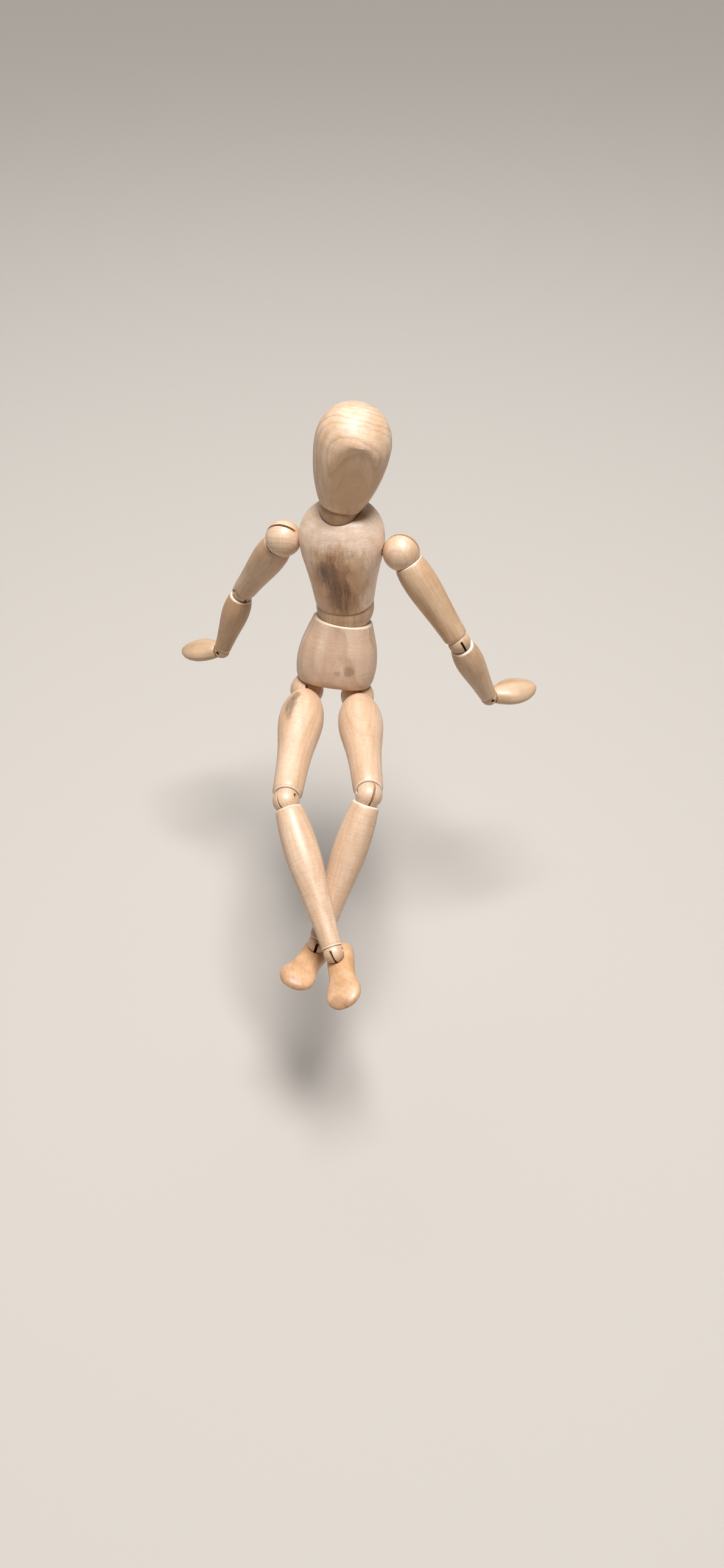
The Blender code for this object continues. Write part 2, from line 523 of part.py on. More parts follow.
# =====================================================================================
# springs
# =====================================================================================
for s in "RL":
    side = SIDE[s]
    pinned_spring("upper_arm_spring_" + side, "shoulder_ball_" + side, "elbow_ball_" + side, "shoulder", "elbow", 1.6, 4, 0.30, 0.62)
    pinned_spring("forearm_spring_" + side, "elbow_ball_" + side, "wrist_ball_" + side, "elbow", "wrist", 1.2, 4, 0.28, 0.62)
    pinned_spring("thigh_spring_" + side, "hip_ball_" + side, "knee_ball_" + side, "hip", "knee", 1.8, 5, 0.25, 0.62)
    pinned_spring("shin_spring_" + side, "knee_ball_" + side, "ankle_ball_" + side, "knee", "ankle", 1.5, 5, 0.22, 0.60)
    anchored_spring("hand_spring_" + side, "wrist_ball_" + side, "wrist", D["hand_" + s], 0.95, 3, 6.6, 13.6)
    anchored_spring("foot_spring_" + side, "ankle_ball_" + side, "ankle", D["foot_down_" + s], 1.05, 2, 6.1, 9.2)
anchored_spring("head_spring", "neck_ball", "neck", Z_H, 1.8, 4, 13, 26)

# one spring joins the pins of the neck and waist balls, another the two shoulder pins, crossing behind it
cw, _, nw = JOINTS["waist_ball"]
cn, _, nn = JOINTS["neck_ball"]
rw, rn = PIN["waist"] + 0.6, PIN["neck"] + 0.6
Y_C = Z_C.cross(X_C)
pts = hook(cw, Z_C, nw, -HOOK_OFF, rw) + [cw + Z_C * (rw + 1.2) - nw * HOOK_OFF, cw + Z_C * 14.5]
pts += coil(cw + Z_C * 15.5, cw + Z_C * 28, 2.1, 4)
pts += [cw + Z_C * 29 + Y_C * 0.6, cw + Z_C * 31.5 + Y_C * 1.1, cw + Z_C * 39.5 + Y_C * 1.1, cw + Z_C * 43.5 + Y_C * 0.2 + nn * HOOK_OFF, cn - Z_C * (rn + 1.2) + nn * HOOK_OFF]
pts += list(reversed(hook(cn, -Z_C, nn, HOOK_OFF, rn)))
wire("chest_spring", pts)

cr, _, nr = JOINTS["shoulder_ball_right"]
cl, _, nl = JOINTS["shoulder_ball_left"]
rs = PIN["shoulder"] + 0.6
pts = hook(cr, X_C, nr, HOOK_OFF, rs) + [cr + X_C * (rs + 1.2) + nr * HOOK_OFF, cr + X_C * 14]
mid = C_WAIST + Z_C * SHOULDER_UP
pts += [mid - X_C * 4 - Y_C * 0.9, mid + X_C * 3.5 - Y_C * 0.9]
pts += coil(mid + X_C * 4.8, mid + X_C * 16.5, 1.7, 4)
pts += [cl - X_C * (rs + 6), cl - X_C * (rs + 1.2) + nl * HOOK_OFF] + list(reversed(hook(cl, -X_C, nl, HOOK_OFF, rs)))
wire("shoulder_spring", pts)

# the waist ball is pulled down into the pelvis, the hip balls up into its underside
pts = list(reversed(coil(Z_P * 14.0, Z_P * 23.5, 1.9, 3)))
pts = hook(cw, -Z_P, nw, HOOK_OFF, rw) + [cw - Z_P * (rw + 1.2) + nw * HOOK_OFF, Z_P * 24.8] + pts
wire("pelvis_spring", pts)

ch, _, nh = JOINTS["hip_ball_right"]
cg, _, ng = JOINTS["hip_ball_left"]
rh = PIN["hip"] + 0.6
lift = HIP_DROP + 6.5
pts = hook(ch, Z_P, nh, HOOK_OFF, rh) + [ch + Z_P * (rh + 1.2) + nh * HOOK_OFF * 0.5, ch + Z_P * (lift - 0.9), ch + Z_P * (lift + 0.0) + X_P * 0.9]
pts += coil(Z_P * 6.5 - X_P * 8.5, Z_P * 6.5 + X_P * 8.5, 1.6, 5)
pts += [cg + Z_P * (lift + 0.0) - X_P * 0.9, cg + Z_P * (lift - 0.9), cg + Z_P * (rh + 1.2) + ng * HOOK_OFF * 0.5] + list(reversed(hook(cg, Z_P, ng, HOOK_OFF, rh)))
wire("hip_spring", pts)
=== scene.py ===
"""Looks of the artist mannequin: smooth turned wood, slotted balls, pins and springs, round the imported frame."""
import bpy
import bmesh
import math
from mathutils import Matrix, Vector


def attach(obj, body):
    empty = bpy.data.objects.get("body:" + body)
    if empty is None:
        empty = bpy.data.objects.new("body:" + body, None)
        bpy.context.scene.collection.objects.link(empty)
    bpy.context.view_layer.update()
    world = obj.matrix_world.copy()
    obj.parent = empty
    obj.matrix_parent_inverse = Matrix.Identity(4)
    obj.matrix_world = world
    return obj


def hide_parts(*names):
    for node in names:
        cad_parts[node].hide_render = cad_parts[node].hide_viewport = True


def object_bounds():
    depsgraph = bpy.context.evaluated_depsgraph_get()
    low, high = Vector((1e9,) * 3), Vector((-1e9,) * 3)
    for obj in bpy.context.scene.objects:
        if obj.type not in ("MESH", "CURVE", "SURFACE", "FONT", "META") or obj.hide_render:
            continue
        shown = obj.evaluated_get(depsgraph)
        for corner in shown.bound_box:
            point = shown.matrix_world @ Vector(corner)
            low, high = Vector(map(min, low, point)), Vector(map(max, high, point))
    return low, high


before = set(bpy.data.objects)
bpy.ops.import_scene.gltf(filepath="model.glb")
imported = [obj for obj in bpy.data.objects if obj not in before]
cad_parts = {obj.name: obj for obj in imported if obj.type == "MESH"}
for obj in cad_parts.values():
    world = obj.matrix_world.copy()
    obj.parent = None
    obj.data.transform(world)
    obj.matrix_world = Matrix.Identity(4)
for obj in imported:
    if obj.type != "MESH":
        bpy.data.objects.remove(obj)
cad_box = [list(c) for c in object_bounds()]
MM = 0.001
LIMB_SEGS = 64
BODY_SEGS = 112

# ---- driving dimensions, the same as the CAD (millimetres) ----
GAP = 0.22            # the smooth balls fit their cups closer than the CAD ones
THIGH, SHIN, UPPER_ARM, FOREARM = 76.9, 75.5, 52.8, 42.4
HAND_LEN = 27.5
HIP_SPAN, HIP_DROP = 26.4, 5.2
WAIST_UP = 42.4
SHOULDER_UP, SHOULDER_SPAN = 34.8, 59.1
NECK_UP = 55.2
R_NECK, R_WAIST, R_SHOULDER, R_HIP = 9.5, 14.5, 8.9, 8.6
R_ELBOW, R_WRIST, R_KNEE, R_ANKLE = 5.6, 4.3, 6.4, 4.8
PIN = {"neck": 1.0, "waist": 1.2, "shoulder": 0.9, "hip": 0.9, "elbow": 0.75, "wrist": 0.7, "knee": 0.8, "ankle": 0.7}
SLOT = {"neck": 1.5, "waist": 1.6, "shoulder": 1.3, "hip": 1.1, "elbow": 1.15, "wrist": 1.2, "knee": 1.15, "ankle": 1.3}
WIRE = 0.24
BLIND = ("neck", "waist", "shoulder")   # these pins are pressed in from behind
HOOK_OFF = 0.27
POSE = {
    "pelvis": (64.05, 70.2), "chest": (-176.9, 87.79), "head": (25.3, 77.3),
    "thigh_R": (-95.69, -4.37), "thigh_L": (-85.76, 1.83),
    "shin_R": (-69.11, -30.89), "shin_L": (-119.72, -49.23),
    "upper_arm_R": (142.88, -55.22), "upper_arm_L": (-28.23, -51.46),
    "forearm_R": (173.07, -69.8), "forearm_L": (13.27, -64.45),
    "hand_R": (152.86, -17.78), "hand_L": (23.61, -2.58),
}
PELVIS_SIDE = (-0.85, -8.68)
CHEST_SIDE = (-15.6, 0.0)
FACE_YAW = 14.0
FOOT_FWD = {"R": (-86.9, 10.5), "L": (-111.6, 20.6)}
FOOT_TILT = {"R": 24.5, "L": -10.0}


def aim(az, el):
    a, e = math.radians(az), math.radians(el)
    return Vector((math.cos(e) * math.cos(a), math.cos(e) * math.sin(a), math.sin(e)))


def frame_at(origin, z, x):
    z = z.normalized()
    x = (x - z * x.dot(z)).normalized()
    y = z.cross(x)
    m = Matrix((x, y, z)).transposed().to_4x4()
    m.translation = origin * MM
    return m


Z_P, X_P = aim(*POSE["pelvis"]), aim(*PELVIS_SIDE)
X_P = (X_P - Z_P * X_P.dot(Z_P)).normalized()
Y_P = Z_P.cross(X_P)
Z_C, X_C = aim(*POSE["chest"]), aim(*CHEST_SIDE)
X_C = (X_C - Z_C * X_C.dot(Z_C)).normalized()
Y_C = Z_C.cross(X_C)
Z_H = aim(*POSE["head"])
X_H = Matrix.Rotation(math.radians(FACE_YAW), 3, "Z") @ Vector((1, 0, 0))
X_H = (X_H - Z_H * X_H.dot(Z_H)).normalized()
C_WAIST = Z_P * WAIST_UP
C_NECK = C_WAIST + Z_C * NECK_UP
HIP = {"R": -Z_P * HIP_DROP - X_P * HIP_SPAN / 2, "L": -Z_P * HIP_DROP + X_P * HIP_SPAN / 2}
SHO = {s: C_WAIST + Z_C * SHOULDER_UP + X_C * (k * SHOULDER_SPAN / 2) for s, k in (("R", -1), ("L", 1))}
D = {k: aim(*v) for k, v in POSE.items()}
KNEE = {s: HIP[s] + D["thigh_" + s] * THIGH for s in "RL"}
ANKLE = {s: KNEE[s] + D["shin_" + s] * SHIN for s in "RL"}
ELBOW = {s: SHO[s] + D["upper_arm_" + s] * UPPER_ARM for s in "RL"}
WRIST = {s: ELBOW[s] + D["forearm_" + s] * FOREARM for s in "RL"}
SIDE = {"R": "right", "L": "left"}


# =====================================================================================
# materials
# =====================================================================================
class Tree:
    """Short names for the shader nodes used here."""

    def __init__(self, name):
        self.mat = bpy.data.materials.new(name)
        self.mat.use_nodes = True
        self.t = self.mat.node_tree
        self.bsdf = self.t.nodes["Principled BSDF"]

    def link(self, value, socket):
        if isinstance(value, bpy.types.NodeSocket):
            self.t.links.new(value, socket)
        elif isinstance(value, (tuple, list, Vector)) and socket.type == "RGBA":
            socket.default_value = (*value[:3], 1.0)
        else:
            socket.default_value = value

    def node(self, kind, inputs=(), **props):
        n = self.t.nodes.new(kind)
        for k, v in props.items():
            setattr(n, k, v)
        for k, v in (inputs.items() if isinstance(inputs, dict) else enumerate(inputs)):
            if v is not None:
                self.link(v, n.inputs[k])
        return n

    def m(self, op, a, b=None, c=None, clamp=False):
        return self.node("ShaderNodeMath", [a, b, c], operation=op, use_clamp=clamp).outputs[0]

    def v(self, op, a, b=None):
        n = self.node("ShaderNodeVectorMath", [a, b], operation=op)
        return n.outputs["Value"] if op in ("LENGTH", "DOT_PRODUCT", "DISTANCE") else n.outputs[0]

    def scaled(self, a, s):
        n = self.node("ShaderNodeVectorMath", [a, s], operation="MULTIPLY")
        return n.outputs[0]

    def noise(self, vec, scale=1.0, detail=2.0, rough=0.5, distort=0.0):
        return self.node("ShaderNodeTexNoise", {"Vector": vec, "Scale": scale, "Detail": detail, "Roughness": rough, "Distortion": distort}).outputs["Fac"]

    def span(self, x, a, b, c=0.0, d=1.0, smooth=False):
        n = self.node("ShaderNodeMapRange", interpolation_type="SMOOTHSTEP" if smooth else "LINEAR")
        for i, val in enumerate((x, a, b, c, d)):
            self.link(val, n.inputs[i])
        return n.outputs[0]

    def mix(self, fac, a, b, mode="MIX"):
        n = self.node("ShaderNodeMix", data_type="RGBA", blend_type=mode)
        self.link(fac, n.inputs[0])
        self.link(a, n.inputs[6])
        self.link(b, n.inputs[7])
        return n.outputs[2]

    def split(self, vec):
        return self.node("ShaderNodeSeparateXYZ", [vec]).outputs

    def join(self, x, y, z):
        return self.node("ShaderNodeCombineXYZ", [x, y, z]).outputs[0]


def srgb(r, g, b):
    def f(c):
        c /= 255
        return c / 12.92 if c <= 0.04045 else ((c + 0.055) / 1.055) ** 2.4
    return (f(r), f(g), f(b))


PALE, MID, DEEP = srgb(233, 206, 180), srgb(212, 176, 140), srgb(152, 108, 68)


def wood(name, pale=PALE, mid=MID, deep=DEEP, pith=(0.0, 28.0), spacing=2.3, ring=0.35, seed=0.0, rough=0.46,
         turned=0.5, flecks=0.55, stains_and_shade=(), seam_dirt_and_shade=(), knots=(), heart=None, rim_highlights=()):
    """Turned, lightly waxed hardwood. Coordinates are millimetres in the piece's own frame, grain along Z.

    heart: (height, squash) makes the rings close into ovals about that height, as on a tangent cut.
    rim_highlights: (z from, z to) paler bands on the cup-rim chamfers, a painted highlight.
    stains_and_shade: (centre, radii, colour, strength, streak) soft-edged marks: real soiling, and patches of painted
    shade. seam_dirt_and_shade: (z from, z to, amount) bands darkened towards z to, partly dirt and partly painted
    shade."""
    T = Tree(name)
    pos = T.scaled(T.node("ShaderNodeTexCoord").outputs["Object"], (1000.0, 1000.0, 1000.0))
    here = T.v("ADD", pos, (seed * 37.0, seed * 19.0, seed * 53.0))
    x, y, z = T.split(pos)

    # growth rings: a cylinder of rings about a pith line beside the piece, gently wandering
    warp = T.noise(T.scaled(here, (0.05, 0.05, 0.018)), 1.0, 2.0, 0.5)
    warp2 = T.noise(T.scaled(here, (0.35, 0.35, 0.05)), 1.0, 2.0, 0.5)
    rx = T.m("SUBTRACT", x, pith[0])
    ry = T.m("SUBTRACT", y, pith[1])
    rad = T.m("ADD", T.m("MULTIPLY", rx, rx), T.m("MULTIPLY", ry, ry))
    if heart:
        rz = T.m("MULTIPLY", T.m("SUBTRACT", z, heart[0]), heart[1])
        rad = T.m("ADD", rad, T.m("MULTIPLY", rz, rz))
    rad = T.m("SQRT", rad)
    rad = T.m("ADD", rad, T.m("MULTIPLY", warp, 5.0 if heart else 9.0))
    rad = T.m("ADD", rad, T.m("MULTIPLY", warp2, 0.7))
    count = T.m("DIVIDE", rad, spacing)
    saw = T.m("FRACT", count)
    late = T.m("MULTIPLY", T.span(saw, 0.45, 0.92, 0, 1, True), T.span(saw, 0.92, 1.0, 1, 0))
    year = T.noise(T.join(T.m("FLOOR", count), seed, 3.7), 1.7, 0.0)
    late = T.m("MULTIPLY", late, T.span(year, 0.3, 0.7, 0.25, 1.0))

    # fibres, broad figure and the short dark rays of the grain
    fibre = T.noise(T.scaled(here, (2.6, 2.6, 0.11)), 1.0, 4.0, 0.62)
    figure = T.noise(T.scaled(here, (0.16, 0.16, 0.028)), 1.0, 3.0, 0.55)
    blotch = T.noise(T.scaled(here, (0.07, 0.07, 0.06)), 1.0, 2.0, 0.5)
    ray = T.noise(T.scaled(here, (4.6, 4.6, 0.55)), 1.0, 2.0, 0.5)
    ray = T.span(ray, 0.60, 0.72, 0, 1, True)
    fine = T.noise(T.scaled(here, (7.0, 7.0, 1.4)), 1.0, 2.0, 0.6)
    pore = T.span(T.noise(T.scaled(here, (3.1, 3.1, 0.8)), 1.0, 1.0, 0.5), 0.63, 0.71, 0, 1, True)
    tool = T.noise(T.scaled(here, (0.10, 0.10, 3.2)), 1.0, 3.0, 0.65)
    hand = T.noise(T.scaled(here, (0.5, 0.5, 0.5)), 1.0, 4.0, 0.65)

    col = T.mix(T.span(figure, 0.30, 0.70, 0, 1, True), pale, mid)
    col = T.mix(T.m("MULTIPLY", T.span(fibre, 0.36, 0.68, 0, 1), 0.42), col, mid)
    col = T.mix(T.m("MULTIPLY", late, ring), col, deep)
    col = T.mix(T.m("MULTIPLY", ray, flecks * 0.34), col, deep)
    col = T.mix(T.m("MULTIPLY", T.span(fine, 0.35, 0.65, 0, 1), 0.10), col, deep)
    col = T.mix(T.m("MULTIPLY", T.span(blotch, 0.42, 0.72, 0, 1, True), 0.25), col, srgb(222, 184, 150))
    col = T.mix(T.m("MULTIPLY", pore, flecks * 0.50), col, deep)
    col = T.mix(T.m("MULTIPLY", T.span(tool, 0.45, 0.72, 0, 1), 0.30 * min(1.0, turned * 2)), col, deep)
    col = T.mix(T.m("MULTIPLY", T.span(hand, 0.52, 0.72, 0, 1, True), 0.16), col, srgb(150, 116, 80))

    # painted highlight: pale bands along the cup-rim chamfers
    for lo, hi in rim_highlights:
        col = T.mix(T.m("MULTIPLY", T.span(z, lo, hi, 0, 1, True), 0.80), col, srgb(246, 230, 212))

    # handling marks, and patches of painted shade
    rough_val = T.span(fibre, 0.3, 0.7, rough - 0.05, rough + 0.08)
    for k, (centre, radii, colour, strength, streak) in enumerate(stains_and_shade):
        d = T.v("SUBTRACT", pos, centre)
        wob = T.noise(T.v("ADD", T.scaled(pos, (0.30, 0.30, 0.12)), (k * 3.7, 1.9, seed)), 1.0, 4.0, 0.65)
        wob = T.m("MULTIPLY", T.m("SUBTRACT", wob, 0.5), 1.5)
        d = T.v("DIVIDE", d, radii)
        dist = T.m("ADD", T.v("LENGTH", d), wob)
        mask = T.span(dist, 1.12, 0.50, 0, 1, True)
        if streak:
            st = T.noise(T.v("ADD", T.scaled(pos, (0.75, 0.75, 0.045)), (k * 7.1, 3.3, seed)), 1.0, 4.0, 0.65)
            mask = T.m("MULTIPLY", mask, T.span(st, 0.30, 0.62, 1.0 - streak, 1.0, True))
            st2 = T.noise(T.scaled(here, (2.4, 2.4, 0.5)), 1.0, 3.0, 0.7)
            mask = T.m("MULTIPLY", mask, T.span(st2, 0.32, 0.60, 1.0 - 0.6 * streak, 1.0))
        col = T.mix(T.m("MULTIPLY", mask, strength, clamp=True), col, colour)
    # bands darkened towards z to: partly dirt, partly painted shade near the seams
    for lo, hi, amount in seam_dirt_and_shade:
        band = T.span(z, lo, hi, 0, 1, True)
        patch = T.span(T.noise(T.scaled(here, (0.35, 0.35, 0.3)), 1.0, 3.0, 0.6), 0.3, 0.7, 0.4, 1.0)
        col = T.mix(T.m("MULTIPLY", T.m("MULTIPLY", band, patch), amount, clamp=True), col, srgb(120, 84, 54))

    T.link(col, T.bsdf.inputs["Base Color"])
    T.link(rough_val, T.bsdf.inputs["Roughness"])
    T.bsdf.inputs["Coat Weight"].default_value = 0.10
    T.bsdf.inputs["Coat Roughness"].default_value = 0.30
    T.bsdf.inputs["IOR"].default_value = 1.50
    T.bsdf.inputs["Specular IOR Level"].default_value = 0.80

    # lathe lines round the piece, and the pull of the grain
    lathe = T.m("SINE", T.m("MULTIPLY", T.m("ADD", z, T.m("MULTIPLY", warp2, 0.8)), 2 * math.pi / 0.95))
    lathe = T.m("MULTIPLY", lathe, T.span(T.noise(T.join(0.0, 0.0, T.m("MULTIPLY", z, 0.25)), 1.0, 1.0), 0.4, 0.65, 0.0, 1.0))
    lathe = T.m("ADD", lathe, T.m("MULTIPLY", tool, 2.5))
    h = T.m("MULTIPLY", lathe, 0.012 * turned)
    h = T.m("ADD", h, T.m("MULTIPLY", fibre, 0.05))
    h = T.m("ADD", h, T.m("MULTIPLY", fine, 0.025))
    h = T.m("SUBTRACT", h, T.m("MULTIPLY", late, 0.02))
    h = T.m("SUBTRACT", h, T.m("MULTIPLY", ray, 0.02 * flecks))
    for centre, radii, depth in knots:
        d = T.v("DIVIDE", T.v("SUBTRACT", pos, centre), radii)
        h = T.m("SUBTRACT", h, T.m("MULTIPLY", T.span(T.v("LENGTH", d), 1.0, 0.3, 0, 1, True), depth))
    bump = T.node("ShaderNodeBump", {"Strength": 0.55, "Distance": 0.001, "Height": h})
    T.link(bump.outputs[0], T.bsdf.inputs["Normal"])
    return T.mat


def metal(name, colour, rough, scale=3.0):
    T = Tree(name)
    pos = T.scaled(T.node("ShaderNodeTexCoord").outputs["Object"], (1000.0, 1000.0, 1000.0))
    n = T.noise(T.scaled(pos, (scale, scale, scale)), 1.0, 3.0, 0.6)
    T.link(T.mix(T.span(n, 0.4, 0.75, 0, 0.5, True), colour, tuple(c * 0.55 for c in colour)), T.bsdf.inputs["Base Color"])
    T.link(T.span(n, 0.3, 0.7, rough - 0.06, rough + 0.12), T.bsdf.inputs["Roughness"])
    T.bsdf.inputs["Metallic"].default_value = 1.0
    bump = T.node("ShaderNodeBump", {"Strength": 0.3, "Distance": 0.001, "Height": T.m("MULTIPLY", n, 0.02)})
    T.link(bump.outputs[0], T.bsdf.inputs["Normal"])
    return T.mat


# =====================================================================================
# mesh builders (millimetres in the piece's own frame)
# =====================================================================================
PIECES = []


def finish(name, bm, world, mat, body, nodes=(), slot="wood", sharp=30):
    bmesh.ops.recalc_face_normals(bm, faces=bm.faces)
    me = bpy.data.meshes.new(name)
    bmesh.ops.scale(bm, vec=(MM, MM, MM), verts=bm.verts)
    bm.to_mesh(me)
    bm.free()
    me.shade_smooth()
    me.set_sharp_from_angle(angle=math.radians(sharp))
    ob = bpy.data.objects.new(name, me)
    bpy.context.collection.objects.link(ob)
    ob.matrix_world = world
    me.materials.append(mat)
    PIECES.append((ob, body, nodes, slot))
    return ob


def rings_mesh(bm, rings, closed_loop=False):
    made = [[bm.verts.new(p) for p in r] for r in rings]
    pairs = list(zip(made[:-1], made[1:]))
    if closed_loop:
        pairs.append((made[-1], made[0]))
    for a, b in pairs:
        n = max(len(a), len(b))
        for i in range(n):
            j = (i + 1) % n
            if len(a) == 1:
                bm.faces.new((a[0], b[i], b[j]))
            elif len(b) == 1:
                bm.faces.new((a[i], b[0], a[j]))
            else:
                bm.faces.new((a[i], b[i], b[j], a[j]))


def ring(r, z, n=LIMB_SEGS, sx=1.0, sy=1.0, power=2.0, oy=0.0):
    pts = []
    for i in range(n):
        t = 2 * math.pi * i / n
        c, s = math.cos(t), math.sin(t)
        k = (abs(c) ** power + abs(s) ** power) ** (-1.0 / power)
        pts.append(Vector((r * sx * k * c, r * sy * k * s + oy, z)))
    return pts


def spline(points, z):
    xs = [p[0] for p in points]
    ys = [p[1] for p in points]
    if z <= xs[0]:
        return ys[0]
    if z >= xs[-1]:
        return ys[-1]
    n = len(xs)
    d = [(ys[i + 1] - ys[i]) / (xs[i + 1] - xs[i]) for i in range(n - 1)]
    m = [d[0]] + [0.0 if d[i - 1] * d[i] <= 0 else 2 * d[i - 1] * d[i] / (d[i - 1] + d[i]) for i in range(1, n - 1)] + [d[-1]]
    i = max(k for k in range(n - 1) if xs[k] <= z)
    h = xs[i + 1] - xs[i]
    t = (z - xs[i]) / h
    return ((2 * t ** 3 - 3 * t * t + 1) * ys[i] + (t ** 3 - 2 * t * t + t) * h * m[i]
            + (-2 * t ** 3 + 3 * t * t) * ys[i + 1] + (t ** 3 - t * t) * h * m[i + 1])


def cup_arc(radius, r_from, r_to, centre, side, steps=12):
    a0, a1 = math.asin(r_from / radius), math.asin(r_to / radius)
    return [(radius * math.sin(a0 + (a1 - a0) * i / steps), centre + side * radius * math.cos(a0 + (a1 - a0) * i / steps))
            for i in range(steps + 1)]


def dense(points, keep=2, step=1.2):
    """Rows along a profile: the first and last few points as given, the rest evenly close."""
    zs = [p[0] for p in points]
    rows = zs[:keep] + zs[-keep:]
    n = int((zs[-keep] - zs[keep - 1]) / step)
    rows += [zs[keep - 1] + (zs[-keep] - zs[keep - 1]) * i / n for i in range(1, n)]
    return sorted(set(rows))


def limb(name, points, length, ball_top, ball_low, rim_top, rim_low, bore, world, mat, body, slot, low_keep=3):
    top, low = ball_top + GAP, ball_low + GAP
    zs = [p[0] for p in points]
    rows = sorted(set(zs[:2] + zs[-low_keep:] + [zs[1] + (zs[-low_keep] - zs[1]) * i / 56 for i in range(57)]))
    prof = cup_arc(top, bore, math.sqrt(top ** 2 - rim_top ** 2), 0.0, 1)
    prof += [(spline(points, z), z) for z in rows]
    prof += cup_arc(low, math.sqrt(low ** 2 - rim_low ** 2), bore, length, -1)
    bm = bmesh.new()
    rings_mesh(bm, [ring(r, z) for r, z in prof], closed_loop=True)
    return finish(name, bm, world, mat, body, (name.replace("_wood", ""),), slot)


def cutter(bm, world):
    bmesh.ops.recalc_face_normals(bm, faces=bm.faces)
    bmesh.ops.scale(bm, vec=(MM, MM, MM), verts=bm.verts)
    me = bpy.data.meshes.new("tool")
    bm.to_mesh(me)
    bm.free()
    ob = bpy.data.objects.new("tool", me)
    bpy.context.collection.objects.link(ob)
    ob.matrix_world = world
    return ob


def carve(ob, tools, sharp=30):
    """Cuts the tools out of ob and keeps the result as its mesh."""
    for t in tools:
        mod = ob.modifiers.new("cut", "BOOLEAN")
        mod.operation, mod.solver, mod.object = "DIFFERENCE", "EXACT", t
    bpy.context.view_layer.update()
    dg = bpy.context.evaluated_depsgraph_get()
    me = bpy.data.meshes.new_from_object(ob.evaluated_get(dg))
    ob.modifiers.clear()
    old = ob.data
    ob.data = me
    me.name = ob.name
    bpy.data.meshes.remove(old)
    me.shade_smooth()
    me.set_sharp_from_angle(angle=math.radians(sharp))
    for t in tools:
        bpy.data.objects.remove(t, do_unlink=True)


def sphere_rings(radius, segs, rows):
    out = [[Vector((0, 0, -radius))]]
    for i in range(1, rows):
        a = math.pi * i / rows
        out.append(ring(radius * math.sin(a), -radius * math.cos(a), segs))
    out.append([Vector((0, 0, radius))])
    return out


def sphere_tool(centre, radius, segs=64, rows=40, world=None):
    bm = bmesh.new()
    rings_mesh(bm, sphere_rings(radius, segs, rows))
    return cutter(bm, Matrix.Translation(centre * MM) if world is None else world)


def rod_tool(a, b, radius, segs=24):
    bm = bmesh.new()
    length = (b - a).length
    rings_mesh(bm, [[Vector((0, 0, 0))], ring(radius, 0, segs), ring(radius, length, segs), [Vector((0, 0, length))]])
    z = (b - a).normalized()
    x = Vector((0, 1, 0)) if abs(z.y) < 0.8 else Vector((1, 0, 0))
    return cutter(bm, frame_at(a, z, x))


STEEL = metal("pin_steel", srgb(112, 107, 100), 0.42)
SPRING = metal("spring_steel", srgb(128, 126, 122), 0.32, 5.0)
JOINTS = {}


def ball(name, kind, radius, centre, parent_dir, child_dir, slot_from, slot_to, mat, body):
    w = frame_at(centre, parent_dir, child_dir)
    bm = bmesh.new()
    rings_mesh(bm, sphere_rings(radius, 72, 44))
    bmesh.ops.rotate(bm, verts=bm.verts, cent=(0, 0, 0), matrix=Matrix.Rotation(math.radians(90), 3, "X"))
    ob = finish(name + "_wood", bm, w, mat, body, (name,), "wood")
    half, eye = SLOT[kind] / 2, PIN[kind] + 1.5
    a0, a1 = math.radians(slot_from), math.radians(slot_to)
    fan = [(radius * 1.35 * math.sin(a0 + (a1 - a0) * i / 24), radius * 1.35 * math.cos(a0 + (a1 - a0) * i / 24)) for i in range(25)]
    back = 2 * math.pi - (a1 - a0)
    fan += [(eye * math.sin(a1 + back * i / 10), eye * math.cos(a1 + back * i / 10)) for i in range(11)]
    bm = bmesh.new()
    lo = [bm.verts.new((x, -half, z)) for x, z in fan]
    hi = [bm.verts.new((x, half, z)) for x, z in fan]
    bm.faces.new(lo)
    bm.faces.new(hi)
    for i in range(len(fan)):
        j = (i + 1) % len(fan)
        bm.faces.new((lo[i], lo[j], hi[j], hi[i]))
    tools = [cutter(bm, w)]
    n = (w.to_3x3() @ Vector((0, 1, 0))).normalized()
    p = parent_dir.normalized()
    deep = 1.15 if radius < 8 else 1.5
    if kind in BLIND:
        back = n if n.y > 0 else -n
        deep = 2.3
        tools.append(rod_tool(centre - back * (radius - 1.9), centre + back * (radius + 1), PIN[kind] + 0.3, 24))
    else:
        tools.append(rod_tool(centre - n * (radius + 1), centre + n * (radius + 1), PIN[kind] + 0.45, 24))
    tools.append(rod_tool(centre - p * (radius + 1), centre, HOOK_OFF + WIRE + 0.3, 16))
    carve(ob, tools)
    # the pin
    half_len = radius - deep
    bm = bmesh.new()
    c, r = 0.22, PIN[kind]
    rings_mesh(bm, [[Vector((0, 0, -half_len))], ring(r - c, -half_len, 32), ring(r - c * 0.3, -half_len + c * 0.3, 32), ring(r, -half_len + c, 32),
                    ring(r, half_len - c, 32), ring(r - c * 0.3, half_len - c * 0.3, 32), ring(r - c, half_len, 32), [Vector((0, 0, half_len))]])
    finish(name.replace("_ball", "_pin") + "_steel", bm, frame_at(centre, n, p), STEEL, body, (name.replace("_ball", "_pin"),), "pin_steel")
    JOINTS[name] = (centre.copy(), p, n)
    return ob


# ---- springs ----
def hook(centre, along, pin, off, radius, n=20):
    side = pin.cross(along).normalized()
    c = centre + pin * off
    return [c + along * (radius * math.cos(a)) + side * (radius * math.sin(a))
            for a in (math.radians(60 + 300 * i / n) for i in range(n + 1))]


